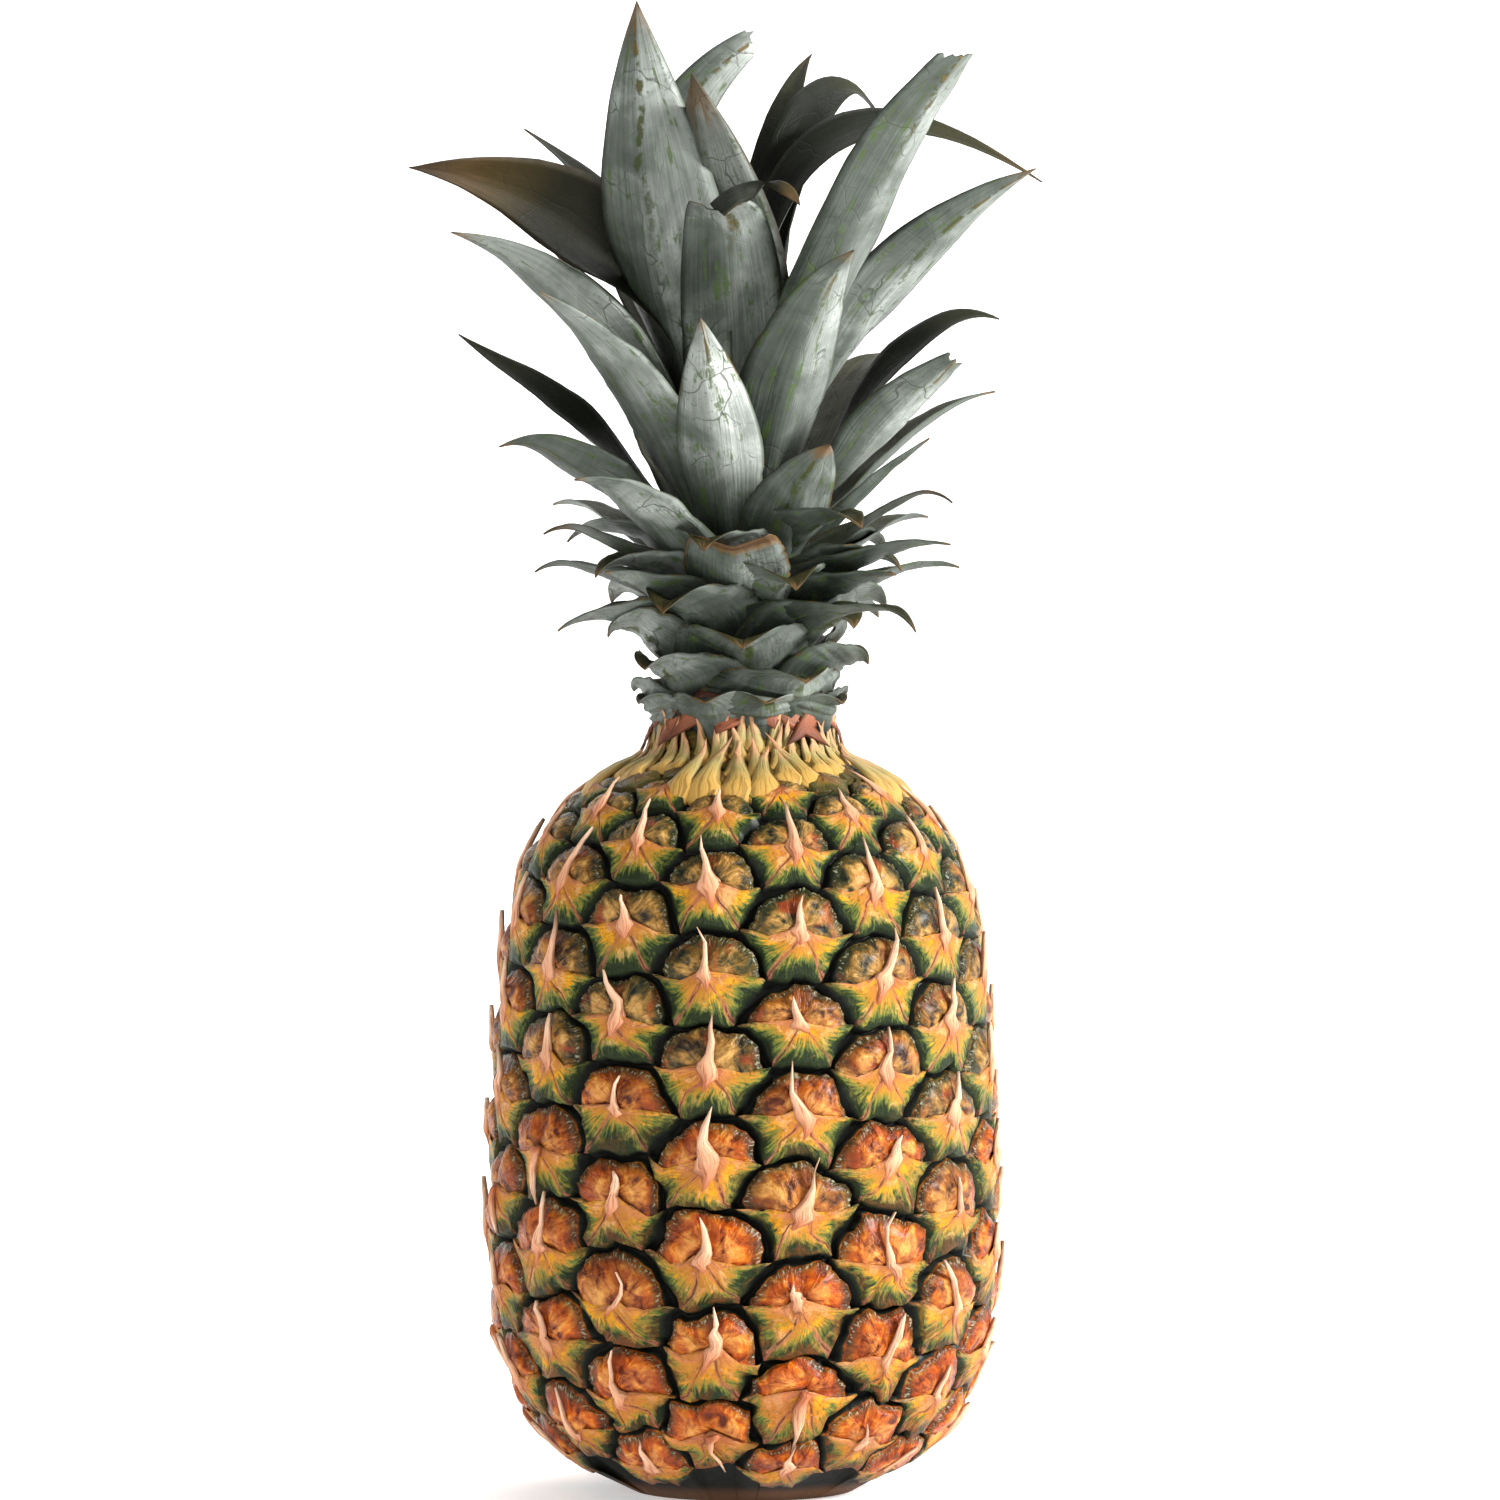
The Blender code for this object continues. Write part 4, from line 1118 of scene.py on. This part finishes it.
    # Painted shade: the inner face of those leaves near-black towards the root.
    root_shade = times(step(shade, 0.0, 0.4), step(t, 0.84, 0.7), inside)
    colour = painted(root_shade, colour, (7, 14, 3), 0.85)
    tree.links.new(colour, shader.inputs["Base Color"])
    tree.links.new(scaled(fine, 0.25, scaled(inside, 0.06, 0.4)), shader.inputs["Roughness"])
    ridges = plus(scaled(fine, 0.25, fibres), times(step(cracks, 0.03, 0.0), -0.3))
    bump(shader, ridges, 0.5, 0.45)
    return made


def stem_foot(height, depth):
    """A leaf's root, this far inside the stem's surface, or outside it where depth is negative."""
    return on_profile(STEM_PROFILE, height) - depth, height, 0


def leaf_tone(number, share):
    """Bloom, dryness and shade of a leaf, by its number and its share of the way up the crown."""
    return mix((0.5, 0.66), share) + LEAF_LIGHT_SHADE.get(number, 0.0), DRY.get(number, 0.05), SHADED.get(number, 0.0)


outer_leaves = [
    (stem_foot(mix(OUTER_FOOT, k / (len(OUTER_LEAVES) - 1)), -ROOT_GAP), shape, ROOT_WIDTH_SHARE,
     BLUNT.get(k + 1, 0.0), leaf_tone(k + 1, k / LEAF_COUNT))
    for k, shape in enumerate(OUTER_LEAVES)
]
first_inner = len(OUTER_LEAVES) + 1
inner_leaves = [
    (stem_foot(mix(INNER_FOOT, k / (len(INNER_LEAVES) - 1)), INNER_ROOT_DEPTH), shape, ROOT_WIDTH_SHARE,
     BLUNT.get(k + first_inner, 0.0), leaf_tone(k + first_inner, (k + len(OUTER_LEAVES)) / LEAF_COUNT))
    for k, shape in enumerate(INNER_LEAVES)
]

# The crown's foot leaves, short and broad, which overlap round the bottom of the stem.
FOOT_LEAF_COUNT = 30
FOOT_LEAF_TURN = 137.5
FOOT_LEAF_AZIMUTH = 12.0
FOOT_HEIGHT = (189.8, 231.0)
FOOT_REACH = (27.0, 47.0)
FOOT_CLIMB = (11.0, 14.0)
FOOT_RING = 6
FOOT_LEAN = (16.0, 38.0)
FOOT_WIDTH = (32.0, 22.0)
FOOT_CURL = (95.0, 30.0)
FOOT_ARCH = 0.6
FOOT_ROOT_DEPTH = -2.0
FOOT_ROOT_SHARE = 0.8
foot_leaves = []
for k in range(FOOT_LEAF_COUNT):
    share = max(0, k - FOOT_RING + 1) / (FOOT_LEAF_COUNT - FOOT_RING)
    height = mix(FOOT_HEIGHT, share)
    shape = (FOOT_LEAF_AZIMUTH + k * FOOT_LEAF_TURN, mix(FOOT_REACH, share), height + mix(FOOT_CLIMB, share),
             mix(FOOT_LEAN, share), FOOT_ARCH, mix(FOOT_WIDTH, share), 0, mix(FOOT_CURL, share), 0)
    # Their tone's small third share is painted shade at the crown's foot.
    foot_leaves.append((stem_foot(height, FOOT_ROOT_DEPTH), shape, FOOT_ROOT_SHARE, 0.0, (0.56, 0.1, 0.08)))

# The tip of the broad leaf in front, which is bent right over and lies to one side.
FOLDED_FOOT = (-8.0, 322.5, -39.0)
FOLDED_SHAPE = (90, 15, 323, 45, 0.7, 10, 80, 20, -41)
# Its tone's third share is painted shade, darkening it by half.
foot_leaves.append((FOLDED_FOOT, FOLDED_SHAPE, 0.9, 0.0, (0.3, 0.5, 0.5)))

blades = leaf_tree()
leaf_skin = leaf_finish()
for name, leaves, replaced in (
    ("outer_crown_leaves", outer_leaves, [f"crown_leaf_{k + 1:02d}" for k in range(len(OUTER_LEAVES))]),
    ("inner_crown_leaves", inner_leaves + foot_leaves, ["crown_heart"]),
):
    paths = leaf_paths(name + "_paths", leaves)
    made = grown(name, blade_template(), blades, Paths=paths, Leaf_count=len(leaves), Wave=0.0035, Nicks=0.5,
                 Seed=len(leaves), Finish=leaf_skin)
    bpy.data.objects.remove(paths, do_unlink=True)
    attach(made, "root")
    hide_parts(*replaced)

stem_outline = [(0, STEM_PROFILE[-1][1]), *reversed(STEM_PROFILE), (0, STEM_PROFILE[0][1])]
stem = turned("crown_stem", stem_outline, STEM_SIDES)
stem.data.materials.append(spine_finish("crown_stem", (30, 36, 16), (34, 40, 18), (40, 44, 20), (14, 18, 8)))
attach(stem, "root")
bpy.data.objects.remove(profile, do_unlink=True)


# The stage: a pale sweep of floor and backdrop, soft studio lights, and a camera at the fruit's half height,
# level, as the photograph was taken.
FRAME_WIDTH = 0.381
CAMERA_DISTANCE = 1.6
CAMERA_PLACE = (0.00165, -CAMERA_DISTANCE, 0.1875)
SENSOR = 36.0


def make_floor():
    """A floor that curves up into its backdrop."""
    width, front, back, curve, top = 8.0, -4.0, 2.2, 1.0, 4.5
    line = [(front, 0.0), (back, 0.0)]
    line += [(back + curve * math.sin(a), curve * (1 - math.cos(a))) for a in np.linspace(0, math.pi / 2, 13)[1:]]
    line += [(back + curve, top)]
    points = [(side * width / 2, y, z) for y, z in line for side in (-1, 1)]
    faces = [(2 * k, 2 * k + 1, 2 * k + 3, 2 * k + 2) for k in range(len(line) - 1)]
    mesh = bpy.data.meshes.new("floor")
    mesh.from_pydata(points, [], faces)
    mesh.shade_smooth()
    made = bpy.data.objects.new("floor", mesh)
    bpy.context.scene.collection.objects.link(made)
    paint, _, shader = new_material("studio_paper", 0.9)
    shader.inputs["Base Color"].default_value = (0.92, 0.92, 0.92, 1)
    shader.inputs["Emission Color"].default_value = (1, 1, 1, 1)
    shader.inputs["Emission Strength"].default_value = 0.42
    mesh.materials.append(paint)
    return made


def add_light(name, place, target, size, power):
    data = bpy.data.lights.new(name, "AREA")
    data.shape = "DISK"
    data.size = size
    data.energy = power
    lamp = bpy.data.objects.new(name, data)
    lamp.location = place
    lamp.rotation_euler = (Vector(target) - Vector(place)).to_track_quat("-Z", "Y").to_euler()
    bpy.context.scene.collection.objects.link(lamp)


make_floor()
add_light("key", (2.1, -0.8, 1.1), (0, 0, 0.2), 0.5, 98)
add_light("fill", (-1.3, -1.8, 0.9), (0, 0, 0.2), 1.0, 11)
add_light("backdrop", (0, 0.9, 2.6), (0, 3.0, 0.4), 1.6, 60)
world = bpy.data.worlds.new("studio")
world.use_nodes = True
world.node_tree.nodes["Background"].inputs[0].default_value = (1, 1, 1, 1)
world.node_tree.nodes["Background"].inputs[1].default_value = 0.33
bpy.context.scene.world = world
bpy.context.scene.view_settings.view_transform = "Standard"
camera = bpy.data.cameras.new("camera")
camera.sensor_width = SENSOR
camera.lens = SENSOR * CAMERA_DISTANCE / FRAME_WIDTH
viewer = bpy.data.objects.new("camera", camera)
viewer.location = CAMERA_PLACE
viewer.rotation_euler = (math.pi / 2, 0, 0)
bpy.context.scene.collection.objects.link(viewer)
bpy.context.scene.camera = viewer
